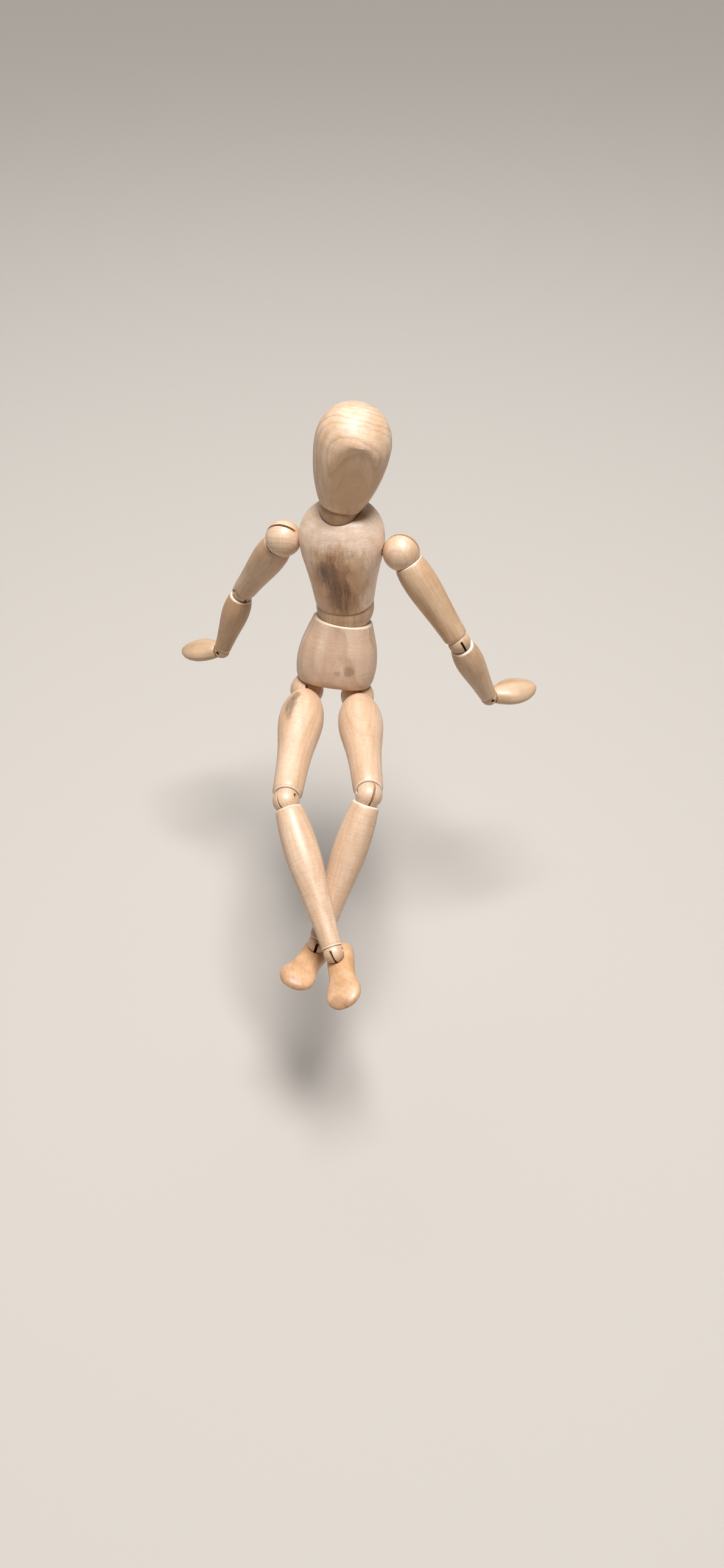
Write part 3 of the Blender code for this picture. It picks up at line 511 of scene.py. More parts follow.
def coil(a, b, radius, turns, per=16):
    z = (b - a).normalized()
    x = Vector((0, 1, 0)) if abs(z.y) < 0.8 else Vector((1, 0, 0))
    x = (x - z * x.dot(z)).normalized()
    y = z.cross(x)
    n = int(turns * per)
    pts = []
    for i in range(n + 1):
        k = min(1.0, i / (per * 0.6), (n - i) / (per * 0.6))
        t = 2 * math.pi * i / per
        pts.append(a + (b - a) * (i / n) + (x * math.cos(t) + y * math.sin(t)) * radius * k)
    return pts


def wire(name, pts, body, node, slot="spring_steel", radius=WIRE, sides=8):
    bm = bmesh.new()
    rings, up = [], None
    for i, p in enumerate(pts):
        t = (pts[min(i + 1, len(pts) - 1)] - pts[max(i - 1, 0)]).normalized()
        if up is None:
            up = Vector((0, 0, 1)) if abs(t.z) < 0.7 else Vector((1, 0, 0))
        up = (up - t * up.dot(t)).normalized()
        v = t.cross(up)
        rings.append([p + (up * math.cos(2 * math.pi * k / sides) + v * math.sin(2 * math.pi * k / sides)) * radius for k in range(sides)])
    rings_mesh(bm, [[pts[0]]] + rings + [[pts[-1]]])
    return finish(name, bm, Matrix.Identity(4), SPRING, body, (node,), slot, 50)


def pinned_spring(node, top_ball, low_ball, top_kind, low_kind, coil_radius, turns, c0, c1, body, low_body):
    """The coil and the upper hook go with the limb, the lower hook turns with the ball below."""
    ct, _, nt = JOINTS[top_ball]
    cl, _, nl = JOINTS[low_ball]
    z = (cl - ct).normalized()
    length = (cl - ct).length
    rt, rl = PIN[top_kind] + 0.6, PIN[low_kind] + 0.6
    pts = hook(ct, z, nt, -HOOK_OFF, rt) + [ct + z * (rt + 0.9) - nt * HOOK_OFF * 0.8, ct + z * (rt + 2.6), ct + z * (length * c0 - 0.6)]
    pts += coil(ct + z * length * c0, ct + z * length * c1, coil_radius, turns)
    pts += [ct + z * (length * c1 + 0.8), ct + z * (length * c1 + 2.5)]
    wire(node + "_wire", pts, body, node)
    low = [ct + z * (length * c1 + 2.3), cl - z * (rl + 2.6), cl - z * (rl + 0.9) + nl * HOOK_OFF * 0.8] + list(reversed(hook(cl, -z, nl, HOOK_OFF, rl)))
    wire(node + "_hook", low, low_body, node)


def anchored_spring(node, top_ball, kind, direction, coil_radius, turns, start, end, body):
    ct, _, nt = JOINTS[top_ball]
    z = direction.normalized()
    rt = PIN[kind] + 0.6
    pts = hook(ct, z, nt, -HOOK_OFF, rt) + [ct + z * (rt + 0.9) - nt * HOOK_OFF * 0.8, ct + z * (start - 0.5)]
    pts += coil(ct + z * start, ct + z * end, coil_radius, turns)
    wire(node + "_wire", pts, body, node)


# =====================================================================================
# torso
# =====================================================================================
PELVIS_W = [(0.3, 16.9), (0.9, 18.0), (1.6, 18.5), (2.8, 19.1), (6, 20.0), (12, 20.5), (20, 19.7), (28, 17.4), (35.2, 14.9)]
PELVIS_D = [(0.3, 8.2), (0.9, 10.2), (1.6, 12.2), (2.8, 13.4), (6, 14.4), (12, 15.3), (20, 15.6), (28, 14.9), (35.2, 14.3)]
PELVIS_TOP = 35.2
CHEST_W = [(4.0, 14.55), (8.5, 15.3), (16, 16.6), (24, 18.3), (32, 20.2), (38, 21.0), (43, 20.6), (46.5, 19.4), (49.2, 17.6), (51, 15.7), (52.4, 13.6), (53.4, 11.2), (53.9, 8.5)]
CHEST_D = [(4.0, 14.3), (8.5, 14.6), (16, 15.0), (24, 15.4), (32, 15.7), (38, 15.7), (43, 15.3), (46.5, 14.7), (49.2, 13.6), (51, 12.5), (52.4, 11.2), (53.4, 9.5), (53.9, 7.2)]
CHEST_BACK = [(4.0, 0.0), (30, 0.0), (38, 0.8), (43, 1.8), (46.5, 2.8), (49.2, 3.6), (51, 4.2), (52.4, 4.7), (53.9, 5.1)]
CHEST_RIM, CHEST_TOP = 4.0, 54.0
HEAD_RIM, HEAD_TOP = 1.9, 50.6
HEAD_W = [(1.7, 9.95), (5, 11.6), (10, 13.6), (16, 15.4), (22, 16.6), (28, 17.35), (33, 17.5), (38, 16.8), (43, 14.6), (47, 11.0), (49.6, 6.2), (50.4, 3.0)]
HEAD_BACK = [(1.7, 10.1), (5, 12.2), (10, 14.8), (16, 17.0), (22, 18.3), (28, 18.9), (33, 18.6), (38, 17.3), (43, 14.6), (47, 10.8), (49.6, 6.0), (50.4, 3.0)]
HEAD_FRONT = [(1.7, 10.6), (5, 12.6), (10, 15.2), (16, 17.3), (22, 18.8), (28, 19.7), (33, 19.6), (37, 18.7), (41, 16.6), (44, 14.0), (47, 10.4), (49.6, 6.0), (50.4, 3.0)]

M_PELVIS = frame_at(Vector((0, 0, 0)), Z_P, X_P)
M_CHEST = frame_at(C_WAIST, Z_C, X_C)
M_HEAD = frame_at(C_NECK, Z_H, X_H)

BROWN, GREY, SOOT, TAN = srgb(130, 80, 38), srgb(112, 94, 78), srgb(78, 44, 18), srgb(190, 143, 90)

# pelvis: underside, sides, rim, waist cup, bore
cup = R_WAIST + GAP
rr = [[Vector((0, 0, 0))], ring(1, 0, BODY_SEGS, 3.9, 6.5, 2.25), ring(1, 0.15, BODY_SEGS, 11.0, 7.5, 2.25)]
rows = [0.3, 0.6, 0.9, 1.2, 1.6, 2.2, 2.8] + [3.6 + (34.2 - 3.6) * i / 34 for i in range(35)]
for z in rows:
    rr.append(ring(1, z, BODY_SEGS, spline(PELVIS_W, z), spline(PELVIS_D, z), 2.25))
rr.append(ring(1, 34.75, BODY_SEGS, spline(PELVIS_W, 34.75) - 0.03, spline(PELVIS_D, 34.75) - 0.03, 2.22))
rr.append(ring(1, PELVIS_TOP, BODY_SEGS, spline(PELVIS_W, PELVIS_TOP) - 0.5, spline(PELVIS_D, PELVIS_TOP) - 0.5, 2.18))
rim_r = math.sqrt(cup ** 2 - (WAIST_UP - PELVIS_TOP) ** 2)
for r, z in reversed(cup_arc(cup, 2.9, rim_r, WAIST_UP, -1, 22)):
    rr.append(ring(r, z, BODY_SEGS))
rr += [ring(2.9, 20, BODY_SEGS), ring(2.9, 12, BODY_SEGS), [Vector((0, 0, 12))]]
bm = bmesh.new()
rings_mesh(bm, rr)
# the pale band at the pelvis's top cup-rim chamfer is a painted highlight
pelvis_mat = wood("wood_pelvis", pale=srgb(229, 203, 180), mid=srgb(210, 178, 152), pith=(-4.0, 14.0), spacing=2.4, ring=0.36, seed=1.3, heart=(9.0, 0.5), rim_highlights=((34.8, 35.15),),
                  stains_and_shade=[((6.1, -14.8, 12.8), (3.4, 6.0, 3.6), GREY, 0.60, 0.35), ((-0.1, -15.2, 11.1), (2.0, 6.0, 2.6), GREY, 0.5, 0.3)])
pelvis = finish("pelvis_wood", bm, M_PELVIS, pelvis_mat, "pelvis", ("pelvis",), "wood")
tools = []
for s in "RL":
    tools.append(sphere_tool(HIP[s], R_HIP + GAP + 0.05))
    tools.append(rod_tool(HIP[s], HIP[s] + Z_P * (HIP_DROP + 6.5), 1.4))
tools.append(rod_tool(Z_P * 6.5 - X_P * 15, Z_P * 6.5 + X_P * 15, 2.4))
carve(pelvis, tools)

# chest: outside, rim, waist cup and bore; the neck and shoulder cups are cut afterwards
rows = [4.45 + (50.0 - 4.45) * i / 52 for i in range(53)] + [50.6, 51.1, 51.6, 52.0, 52.4, 52.7, 53.0, 53.25, 53.5, 53.7, 53.85]
rr = [ring(1, CHEST_RIM, BODY_SEGS, 14.25, 14.05, 2.1)]
for z in rows:
    rr.append(ring(1, z, BODY_SEGS, spline(CHEST_W, z), spline(CHEST_D, z), 2.12, spline(CHEST_BACK, z)))
rr += [ring(1, 53.93, BODY_SEGS, 5.5, 4.6, 2.12, 5.1), [Vector((0, 5.1, CHEST_TOP))]]
low_r = math.sqrt(cup ** 2 - CHEST_RIM ** 2)
inner = [[Vector((0, 0, 46.0))], ring(3.0, 46.0, BODY_SEGS)]
for r, z in cup_arc(cup, 3.0, low_r, 0.0, 1, 22):
    inner.append(ring(r, z, BODY_SEGS))
bm = bmesh.new()
rings_mesh(bm, inner + rr)
chest_mat = wood("wood_chest", pale=srgb(250, 228, 209), mid=srgb(232, 202, 175), pith=(-9.0, 40.0), spacing=2.9, ring=0.22, seed=2.1,
                 stains_and_shade=[((1.5, -15.0, 19.0), (21.0, 13.0, 26.0), TAN, 0.84, 0.15), ((-1.0, -15.0, 27.0), (10.0, 8.0, 13.5), BROWN, 0.70, 0.50),
                         ((4.2, -15.0, 13.0), (9.6, 8.0, 13.5), BROWN, 0.74, 0.50), ((-2.4, -15.2, 27.5), (6.0, 7.0, 9.5), SOOT, 0.84, 0.75),
                         ((3.2, -15.2, 15.5), (6.0, 7.0, 12.5), SOOT, 0.86, 0.75), ((1.0, -14.0, 39.0), (12.5, 8.0, 4.6), BROWN, 0.46, 0.85)],
                 knots=[((-10.7, -9.8, 46.1), (1.3, 3.0, 0.9), 0.12)])
chest = finish("chest_wood", bm, M_CHEST, chest_mat, "chest", ("chest",), "wood")
carve(chest, [sphere_tool(C_NECK, R_NECK + GAP + 0.05, 96, 60), sphere_tool(SHO["R"], R_SHOULDER + GAP + 0.05), sphere_tool(SHO["L"], R_SHOULDER + GAP + 0.05), rod_tool(SHO["R"], SHO["L"], 2.7)])

# head: a dome above a planed face, which meets it in a soft brow
FACE_TURN = math.radians(-9)


def head_ring(z, n=BODY_SEGS):
    w, back, front = spline(HEAD_W, z), spline(HEAD_BACK, z), spline(HEAD_FRONT, z)
    face = 10.4 + (z - 2.0) * 0.214 + 0.5 * (z - 36.5 + math.sqrt((z - 36.5) ** 2 + 0.35))
    nx, ny = math.sin(FACE_TURN), -math.cos(FACE_TURN)
    pts = []
    for i in range(n):
        t = 2 * math.pi * i / n
        c, s = math.cos(t), math.sin(t)
        x, y = w * c, (back if s > 0 else front) * s
        # the plane takes off what stands in front of it, with a soft edge
        d = x * nx + y * ny - face
        over = (d + math.sqrt(d * d + 0.9)) / 2
        pts.append(Vector((x - nx * over, y - ny * over, z)))
    return pts


rr = [[Vector((0, 0, HEAD_TOP))]]
cap = [(50.58, 0.18), (50.52, 0.40), (50.45, 0.65), (50.4, 1.0)]
for z, k in cap:
    rr.append([Vector((p.x * k, p.y * k, z)) for p in head_ring(50.4)])
rr += [head_ring(z) for z in (50.2, 49.9, 49.5, 49.0, 48.4, 47.6)] + [head_ring(46.8 - (46.8 - 2.2) * i / 52) for i in range(53)]
rr.append(head_ring(HEAD_RIM))
cupn = R_NECK + GAP
hr = math.sqrt(cupn ** 2 - HEAD_RIM ** 2)
for r, z in reversed(cup_arc(cupn, 2.6, hr, 0.0, 1, 18)):
    rr.append(ring(r, z, BODY_SEGS))
rr += [ring(2.6, 20, BODY_SEGS), ring(2.6, 28, BODY_SEGS), [Vector((0, 0, 28))]]
bm = bmesh.new()
rings_mesh(bm, rr)
# the tan patch over the planed face is painted shade: the face turns down, away from the light
head_mat = wood("wood_head", pith=(1.5, 8.0), spacing=1.9, ring=0.50, seed=3.4, heart=(29.5, 0.42), rough=0.55,
                stains_and_shade=[((-2.0, -13.0, 18.0), (15.5, 10.0, 20.0), TAN, 0.42, 0.0)])
finish("head_wood", bm, M_HEAD, head_mat, "head", ("head",), "wood")

ball("waist_ball", "waist", R_WAIST, C_WAIST, Z_P, Z_C, -50, 50, wood("wood_waist", pith=(4, 26), seed=4.2, pale=srgb(216, 186, 152), mid=srgb(190, 150, 112)), "waist")
# the neck ball's darker wood is painted shade: it sits under the head
ball("neck_ball", "neck", R_NECK, C_NECK, Z_C, Z_H, -50, 50, wood("wood_neck", pith=(10, 18), seed=5.1, pale=srgb(202, 164, 124), mid=srgb(172, 128, 88)), "neck")

# =====================================================================================
# limbs
# =====================================================================================
THIGH_R = [(6.2, 6.85), (8.0, 7.9), (12, 9.6), (18, 11.0), (24, 11.35), (30, 10.9), (37, 9.9), (44, 8.9), (52, 8.15), (61, 7.65), (68.5, 7.4), (71.6, 7.25), (73.0, 6.6), (73.3, 6.2)]
SHIN_R = [(4.3, 6.15), (4.9, 6.6), (8, 7.1), (13, 7.7), (19, 8.15), (26, 8.35), (32, 8.2), (38, 7.65), (45, 6.95), (52, 6.35), (59, 5.8), (66, 5.25), (71.5, 4.95), (72.5, 4.9), (72.9, 4.7)]
UPPER_R = [(6.4, 6.95), (6.9, 7.3), (9.2, 7.8), (13, 8.25), (18, 8.35), (24, 8.05), (31, 7.4), (38, 6.75), (45, 6.25), (49.2, 6.0), (50.0, 5.6)]
FORE_R = [(3.5, 5.3), (3.9, 5.75), (6.5, 6.5), (10, 7.05), (14, 7.2), (20, 6.75), (27, 5.8), (33, 5.1), (38, 4.6), (39.7, 4.5), (40.1, 4.3)]
TH_BORE, SH_BORE, UA_BORE, FA_BORE = 2.7, 2.3, 2.5, 2.0
ARM_PALE, ARM_MID = srgb(215, 185, 152), srgb(188, 150, 114)
# darker wood for the right forearm: painted shade, as that arm slopes back and faces down
FORE_SHADE_PALE, FORE_SHADE_MID = srgb(196, 160, 122), srgb(168, 126, 90)
HAND_PALE, HAND_MID = srgb(212, 183, 152), srgb(190, 156, 122)
LEG_PALE, LEG_MID = srgb(232, 203, 176), srgb(212, 175, 140)
FOOT_PALE, FOOT_MID = srgb(224, 184, 146), srgb(202, 154, 110)
LIMB_STAINS = {
    "thigh_R": [((-5.0, 9.6, 23.0), (3.3, 5.0, 10.0), GREY, 0.80, 0.35), ((-3.2, 9.6, 15.5), (2.6, 4.0, 4.4), GREY, 0.70, 0.3)],
    "thigh_L": [], "shin_R": [], "shin_L": [],
}

# the pale bands at the cup edges of the limbs are painted highlights
for i, s in enumerate("RL"):
    side = SIDE[s]
    out = X_C if s == "L" else -X_C
    ball("shoulder_ball_" + side, "shoulder", R_SHOULDER, SHO[s], out, D["upper_arm_" + s], -141, 94,
         wood("wood_shoulder_" + side, pith=(6, 20), seed=6.2 + i, spacing=1.9, ring=0.25), "shoulder_" + side)
    limb("upper_arm_" + side + "_wood", UPPER_R, UPPER_ARM, R_SHOULDER, R_ELBOW, 6.4, 2.8, UA_BORE,
         frame_at(SHO[s], D["upper_arm_" + s], Vector((0, 1, 0))),
         wood("wood_upper_arm_" + side, ARM_PALE, ARM_MID, pith=(-9, 22), seed=7.3 + i, ring=0.22, rim_highlights=((6.9, 6.5), (49.5, 50.0))), "upper_arm_" + side, "wood_arm", 2)
    ball("elbow_ball_" + side, "elbow", R_ELBOW, ELBOW[s], D["upper_arm_" + s], D["forearm_" + s], -100, 100,
         wood("wood_elbow_" + side, ARM_PALE, ARM_MID, seed=8.4 + i, spacing=1.7, ring=0.2), "elbow_" + side)
    # the right forearm takes the darker wood as painted shade
    limb("forearm_" + side + "_wood", FORE_R, FOREARM, R_ELBOW, R_WRIST, 3.5, 2.3, FA_BORE,
         frame_at(ELBOW[s], D["forearm_" + s], Vector((0, 1, 0))),
         wood("wood_forearm_" + side, (ARM_PALE, FORE_SHADE_PALE)[s == "R"], (ARM_MID, FORE_SHADE_MID)[s == "R"], pith=(12, 18), seed=9.5 + i, ring=0.22, rim_highlights=((4.5, 3.9), (39.2, 39.7))), "forearm_" + side, "wood_arm", 2)
    ball("wrist_ball_" + side, "wrist", R_WRIST, WRIST[s], D["forearm_" + s], D["hand_" + s], -100, 100,
         wood("wood_wrist_" + side, ARM_PALE, ARM_MID, seed=10.6 + i, spacing=1.6, ring=0.2), "wrist_" + side)
    ball("hip_ball_" + side, "hip", R_HIP, HIP[s], -Z_P, D["thigh_" + s], -33.5, 127,
         wood("wood_hip_" + side, seed=11.7 + i, spacing=2.0, ring=0.25), "hip_" + side)
    limb("thigh_" + side + "_wood", THIGH_R, THIGH, R_HIP, R_KNEE, 6.2, 3.6, TH_BORE,
         frame_at(HIP[s], D["thigh_" + s], Vector((1, 0, 0))),
         wood("wood_thigh_" + side, LEG_PALE, LEG_MID, pith=(-4, 30), seed=12.8 + i, ring=0.25, rim_highlights=((72.8, 73.2),), stains_and_shade=LIMB_STAINS["thigh_" + s]), "thigh_" + side, "wood", 4)
    ball("knee_ball_" + side, "knee", R_KNEE, KNEE[s], D["thigh_" + s], D["shin_" + s], -110, 100,
         wood("wood_knee_" + side, LEG_PALE, LEG_MID, seed=13.9 + i, spacing=1.8, ring=0.25), "knee_" + side)
    limb("shin_" + side + "_wood", SHIN_R, SHIN, R_KNEE, R_ANKLE, 4.3, 2.6, SH_BORE,
         frame_at(KNEE[s], D["shin_" + s], Vector((1, 0, 0))),
         wood("wood_shin_" + side, LEG_PALE, LEG_MID, pith=(8, 26), seed=14.1 + i, ring=0.25, rim_highlights=((5.1, 4.6), (72.0, 72.6))), "shin_" + side, "wood", 3)

# hands
HAND = [(2.9, 3.9, 3.7), (4.2, 4.9, 4.2), (6.5, 6.3, 4.6), (10, 7.9, 4.9), (14, 8.7, 4.9), (18, 8.3, 4.4), (22, 6.7, 3.6), (25, 4.5, 2.6), (26.8, 2.2, 1.5), (27.5, 0.3, 0.3)]
HW = [(d, w) for d, w, t in HAND]
HT = [(d, t) for d, w, t in HAND]
for i, s in enumerate("RL"):
    side = SIDE[s]
    z = D["hand_" + s]
    flat = Vector((0, 0, 1)).cross(z).normalized()
    cuph = R_WRIST + GAP
    rr = [[Vector((0, 0, 15))], ring(1.7, 15, 48), ring(1.7, 10, 48)]
    hr = math.sqrt(cuph ** 2 - 2.9 ** 2)
    for r, zz in cup_arc(cuph, 1.7, hr, 0.0, 1, 10):
        rr.append(ring(r, zz, 48))
    rows = [2.9, 3.3] + [3.8 + (25.4 - 3.8) * k / 34 for k in range(35)] + [26.0, 26.5, 26.9, 27.2, 27.4]
    for zz in rows:
        rr.append(ring(1, zz, 48, spline(HW, zz), spline(HT, zz), 2.1))
    rr.append([Vector((0, 0, HAND_LEN))])
    bm = bmesh.new()
    rings_mesh(bm, rr)
    finish("hand_" + side + "_wood", bm, frame_at(WRIST[s], z, flat),
           wood("wood_hand_" + side, HAND_PALE, HAND_MID, pith=(7, 16), seed=15.2 + i, ring=0.25, turned=0.15), "hand_" + side, ("hand_" + side,), "wood_arm")

# feet
FOOT = [(-12.2, 2.8, -6.2, -9.7), (-11.0, 4.9, -4.4, -11.2), (-8.3, 6.1, -3.4, -11.7), (-3.8, 6.5, -3.1, -11.7), (1.2, 6.4, -3.1, -11.7),
        (4.3, 6.2, -3.6, -11.7), (7.4, 6.2, -4.3, -11.7), (10.9, 6.6, -5.0, -11.7), (14.8, 7.7, -5.3, -11.7), (18.0, 8.3, -5.3, -11.7),
        (20.8, 8.1, -5.6, -11.7), (23.2, 7.1, -6.2, -11.5), (25.2, 5.5, -7.2, -11.1), (26.4, 3.7, -8.3, -10.7), (27.0, 1.7, -9.2, -10.3)]
FW, FT, FB = ([(r[0], r[k]) for r in FOOT] for k in (1, 2, 3))


def foot_ring(x, n=56):
    w, top, low = spline(FW, x), spline(FT, x), spline(FB, x)
    mid, half = (top + low) / 2, (top - low) / 2
    pts = []
    for i in range(n):
        t = 2 * math.pi * i / n
        c, s = math.cos(t), math.sin(t)
        power = 2.1 if s > 0 else 3.2
        k = (abs(c) ** power + abs(s) ** power) ** (-1.0 / power)
        pts.append(Vector((w * k * c, -x, mid + half * k * s)))
    return pts


for i, s in enumerate("RL"):
    side = SIDE[s]
    fwd = aim(*FOOT_FWD[s])
    up = Vector((0, 0, 1))
    up = (up - fwd * up.dot(fwd)).normalized()
    up = Matrix.Rotation(math.radians(FOOT_TILT[s]), 3, fwd) @ up
    ball("ankle_ball_" + side, "ankle", R_ANKLE, ANKLE[s], D["shin_" + s], -up, -100, 100,
         wood("wood_ankle_" + side, LEG_PALE, LEG_MID, seed=16.3 + i, spacing=1.7, ring=0.25), "ankle_" + side)
    rr = [[Vector((0, 12.45, -8.0))]] + [foot_ring(x) for x in (-12.3, -12.15, -11.9, -11.5, -11.0, -10.4, -9.7, -9.0)]
    rr += [foot_ring(-8.3 + (23.2 + 8.3) * k / 44) for k in range(45)] + [foot_ring(x) for x in (23.9, 24.5, 25.1, 25.6, 26.0, 26.4, 26.7, 26.95)]
    rr.append([Vector((0, -27.15, -9.95))])
    bm = bmesh.new()
    rings_mesh(bm, rr)
    # the two brown patches low on the toe's front are painted shade
    foot = finish("foot_" + side + "_wood", bm, frame_at(ANKLE[s], up, up.cross(fwd)),
                  wood("wood_foot_" + side, FOOT_PALE, FOOT_MID, srgb(150, 96, 52), pith=(30, 0), seed=17.4 + i, ring=0.16, turned=0.0,
                       stains_and_shade=[((-4.0, -25.5, -7.5), (8.5, 4.0, 4.0), BROWN, 0.40, 0.2), ((3.5, -26.5, -9.0), (5.5, 3.0, 3.0), BROWN, 0.38, 0.2), ((0.0, -4.0, -5.0), (9.0, 6.0, 6.0), TAN, 0.45, 0.2)]), "foot_" + side, ("foot_" + side,), "wood_foot")
    carve(foot, [sphere_tool(ANKLE[s], R_ANKLE + GAP, 48, 30), rod_tool(ANKLE[s] - up * 3, ANKLE[s] - up * 9.9, 1.8)])
    D["foot_down_" + s] = -up

# =====================================================================================
# springs
# =====================================================================================
for s in "RL":
    side = SIDE[s]
    pinned_spring("upper_arm_spring_" + side, "shoulder_ball_" + side, "elbow_ball_" + side, "shoulder", "elbow", 1.6, 16, 0.30, 0.62, "upper_arm_" + side, "elbow_" + side)
    pinned_spring("forearm_spring_" + side, "elbow_ball_" + side, "wrist_ball_" + side, "elbow", "wrist", 1.2, 14, 0.28, 0.62, "forearm_" + side, "wrist_" + side)
    pinned_spring("thigh_spring_" + side, "hip_ball_" + side, "knee_ball_" + side, "hip", "knee", 1.8, 22, 0.25, 0.62, "thigh_" + side, "knee_" + side)
    pinned_spring("shin_spring_" + side, "knee_ball_" + side, "ankle_ball_" + side, "knee", "ankle", 1.5, 20, 0.22, 0.60, "shin_" + side, "ankle_" + side)
    anchored_spring("hand_spring_" + side, "wrist_ball_" + side, "wrist", D["hand_" + s], 0.95, 7, 6.6, 13.6, "hand_" + side)
    anchored_spring("foot_spring_" + side, "ankle_ball_" + side, "ankle", D["foot_down_" + s], 1.05, 4, 6.1, 9.2, "foot_" + side)
anchored_spring("head_spring", "neck_ball", "neck", Z_H, 1.8, 12, 13, 26, "head")

cw, _, nw = JOINTS["waist_ball"]
cn, _, nn = JOINTS["neck_ball"]
rw, rn = PIN["waist"] + 0.6, PIN["neck"] + 0.6
pts = hook(cw, Z_C, nw, -HOOK_OFF, rw) + [cw + Z_C * (rw + 1.2) - nw * HOOK_OFF, cw + Z_C * 14.5]
pts += coil(cw + Z_C * 15.5, cw + Z_C * 28, 2.1, 12)
pts += [cw + Z_C * 29 + Y_C * 0.6, cw + Z_C * 31.5 + Y_C * 1.1, cw + Z_C * 38.5 + Y_C * 1.1, cw + Z_C * 41 + Y_C * 0.3]
wire("chest_spring_wire", pts, "chest", "chest_spring")
pts = [cw + Z_C * 40.8 + Y_C * 0.35, cw + Z_C * 43.5 + nn * HOOK_OFF * 0.8, cn - Z_C * (rn + 2.6) + nn * HOOK_OFF * 0.8, cn - Z_C * (rn + 1.0) + nn * HOOK_OFF * 0.8] + list(reversed(hook(cn, -Z_C, nn, HOOK_OFF, rn)))
wire("chest_spring_hook", pts, "neck", "chest_spring")

cr, _, nr = JOINTS["shoulder_ball_right"]
cl, _, nl = JOINTS["shoulder_ball_left"]
rs = PIN["shoulder"] + 0.6
mid = C_WAIST + Z_C * SHOULDER_UP
pts = [cr + X_C * 11, cr + X_C * 14, mid - X_C * 4 - Y_C * 0.9, mid + X_C * 3.5 - Y_C * 0.9]
pts += coil(mid + X_C * 4.8, mid + X_C * 16.5, 1.7, 12) + [mid + X_C * 17.5, cl - X_C * 10.8]
wire("shoulder_spring_wire", pts, "chest", "shoulder_spring")
pts = hook(cr, X_C, nr, HOOK_OFF, rs) + [cr + X_C * (rs + 1.2) + nr * HOOK_OFF, cr + X_C * (rs + 3.0), cr + X_C * 11.3]
wire("shoulder_spring_hook_right", pts, "shoulder_right", "shoulder_spring")
pts = hook(cl, -X_C, nl, HOOK_OFF, rs) + [cl - X_C * (rs + 1.2) + nl * HOOK_OFF, cl - X_C * (rs + 3.0), cl - X_C * 11.1]
wire("shoulder_spring_hook_left", pts, "shoulder_left", "shoulder_spring")

pts = list(reversed(coil(Z_P * 14.0, Z_P * 23.5, 1.9, 9)))
wire("pelvis_spring_wire", [Z_P * 25.5, Z_P * 24.3] + pts, "pelvis", "pelvis_spring")
pts = hook(cw, -Z_P, nw, HOOK_OFF, rw) + [cw - Z_P * (rw + 1.2) + nw * HOOK_OFF, cw - Z_P * (rw + 3.0), Z_P * 25.2]
wire("pelvis_spring_hook", pts, "waist", "pelvis_spring")

rh = PIN["hip"] + 0.6
lift = HIP_DROP + 6.5
ch, _, nh = JOINTS["hip_ball_right"]
cg, _, ng = JOINTS["hip_ball_left"]
pts = [ch + Z_P * (lift - 2.2), ch + Z_P * (lift - 0.7), ch + Z_P * lift + X_P * 0.9]
pts += coil(Z_P * 6.5 - X_P * 8.5, Z_P * 6.5 + X_P * 8.5, 1.6, 16)
pts += [cg + Z_P * lift - X_P * 0.9, cg + Z_P * (lift - 0.7), cg + Z_P * (lift - 2.2)]
wire("hip_spring_wire", pts, "pelvis", "hip_spring")
for c, n, side in ((ch, nh, "right"), (cg, ng, "left")):
    pts = hook(c, Z_P, n, HOOK_OFF, rh) + [c + Z_P * (rh + 1.2) + n * HOOK_OFF * 0.6, c + Z_P * (rh + 2.6), c + Z_P * (lift - 2.0)]
    wire("hip_spring_hook_" + side, pts, "hip_" + side, "hip_spring")

# =====================================================================================
# every piece rides on its body and stands for its CAD solid
# =====================================================================================
bpy.context.view_layer.update()
for ob, body, nodes, slot in PIECES:
    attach(ob, body)
    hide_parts(*nodes)

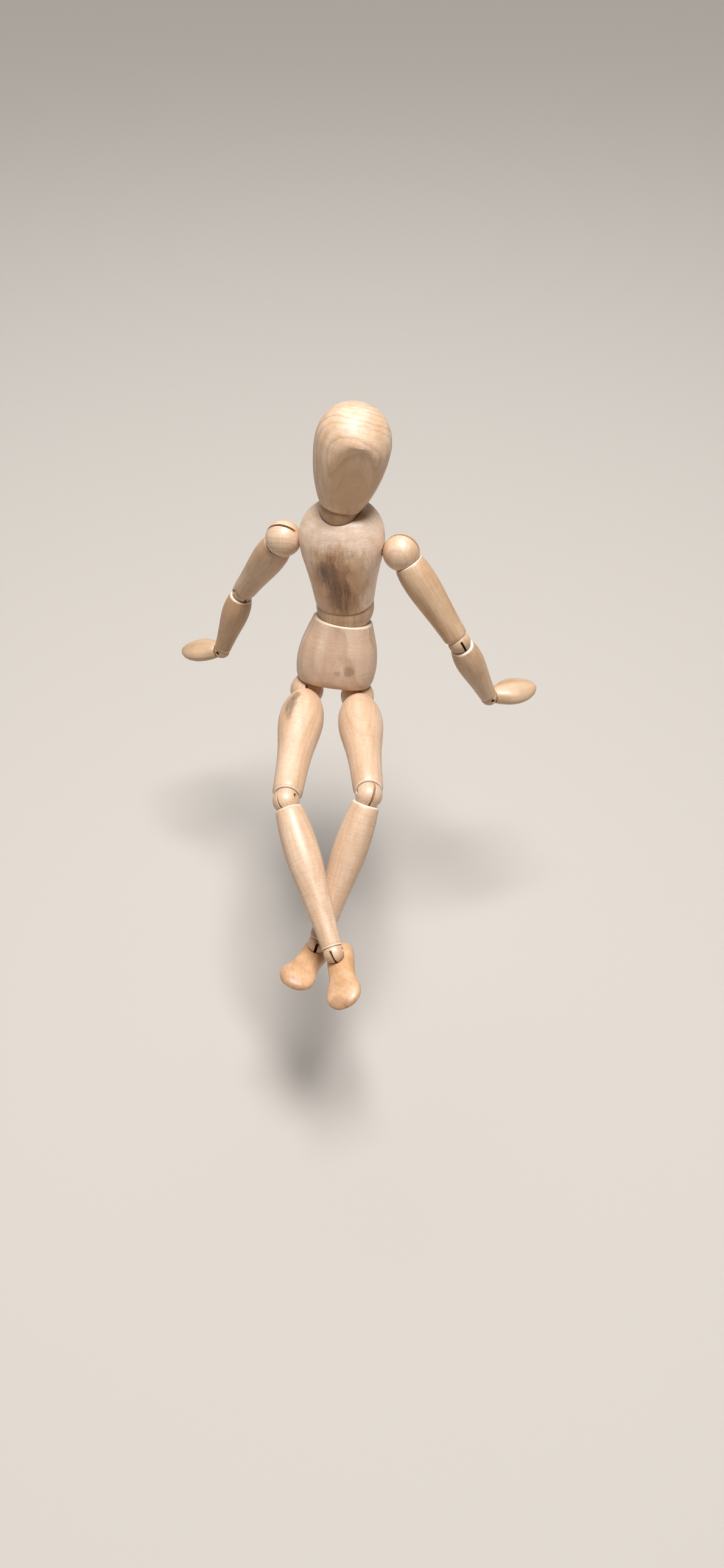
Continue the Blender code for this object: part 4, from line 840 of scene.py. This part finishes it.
# =====================================================================================
# studio: a pale floor under the feet, soft light, the camera
# =====================================================================================
low = Vector(cad_box[0])
floor_z = min(low.z, -0.158) - 0.001      # a leg that hangs straight down stays above it
bm = bmesh.new()
bmesh.ops.create_grid(bm, x_segments=2, y_segments=2, size=6.0)
me = bpy.data.meshes.new("floor")
bm.to_mesh(me)
bm.free()
floor = bpy.data.objects.new("floor", me)
bpy.context.collection.objects.link(floor)
floor.location = (0, 0, floor_z)
T = Tree("floor_paper")
T.bsdf.inputs["Base Color"].default_value = (0.49, 0.455, 0.41, 1)
T.bsdf.inputs["Roughness"].default_value = 0.85
me.materials.append(T.mat)


def softbox(name, where, size, watts, colour, target=Vector((0, -0.02, 0.03))):
    li = bpy.data.lights.new(name, "AREA")
    li.shape = "RECTANGLE"
    li.size, li.size_y = size
    li.energy = watts
    li.color = colour
    ob = bpy.data.objects.new(name, li)
    bpy.context.collection.objects.link(ob)
    where = Vector(where)
    ob.matrix_world = Matrix.Translation(where) @ (target - where).to_track_quat("-Z", "Y").to_matrix().to_4x4()


softbox("key", (0.08, -0.17, 1.20), (0.45, 0.45), 13.0, (0.97, 0.98, 1.0))
softbox("fill", (-1.3, -0.5, 0.7), (0.9, 0.9), 1.3, (1.0, 0.93, 0.84))
softbox("back", (-0.1, 0.9, 1.1), (1.2, 0.8), 4.0, (0.97, 0.98, 1.0))
sun = bpy.data.lights.new("ceiling", "SUN")
sun.energy = 2.4
sun.angle = math.radians(24)
sun.color = (0.985, 0.98, 1.0)
sob = bpy.data.objects.new("ceiling", sun)
bpy.context.collection.objects.link(sob)
sob.matrix_world = Vector((-0.10, 0.15, -1.0)).to_track_quat("-Z", "Y").to_matrix().to_4x4()
world = bpy.data.worlds.new("studio")
world.use_nodes = True
world.node_tree.nodes["Background"].inputs[0].default_value = (1.0, 0.76, 0.52, 1)
world.node_tree.nodes["Background"].inputs[1].default_value = 0.055
scene = bpy.context.scene
scene.world = world
scene.view_settings.view_transform = "Standard"
scene.view_settings.look = "None"

cam = bpy.data.cameras.new("camera")
cam.sensor_fit = "AUTO"
cam.sensor_width = 36.0
cam.lens = 27.25
cam.clip_start = 0.01
cam.clip_end = 50
cob = bpy.data.objects.new("camera", cam)
bpy.context.collection.objects.link(cob)
cob.location = (0.01469, -0.48048, 0.38571)
cob.rotation_euler = (math.radians(46.4), 0, 0)
scene.camera = cob
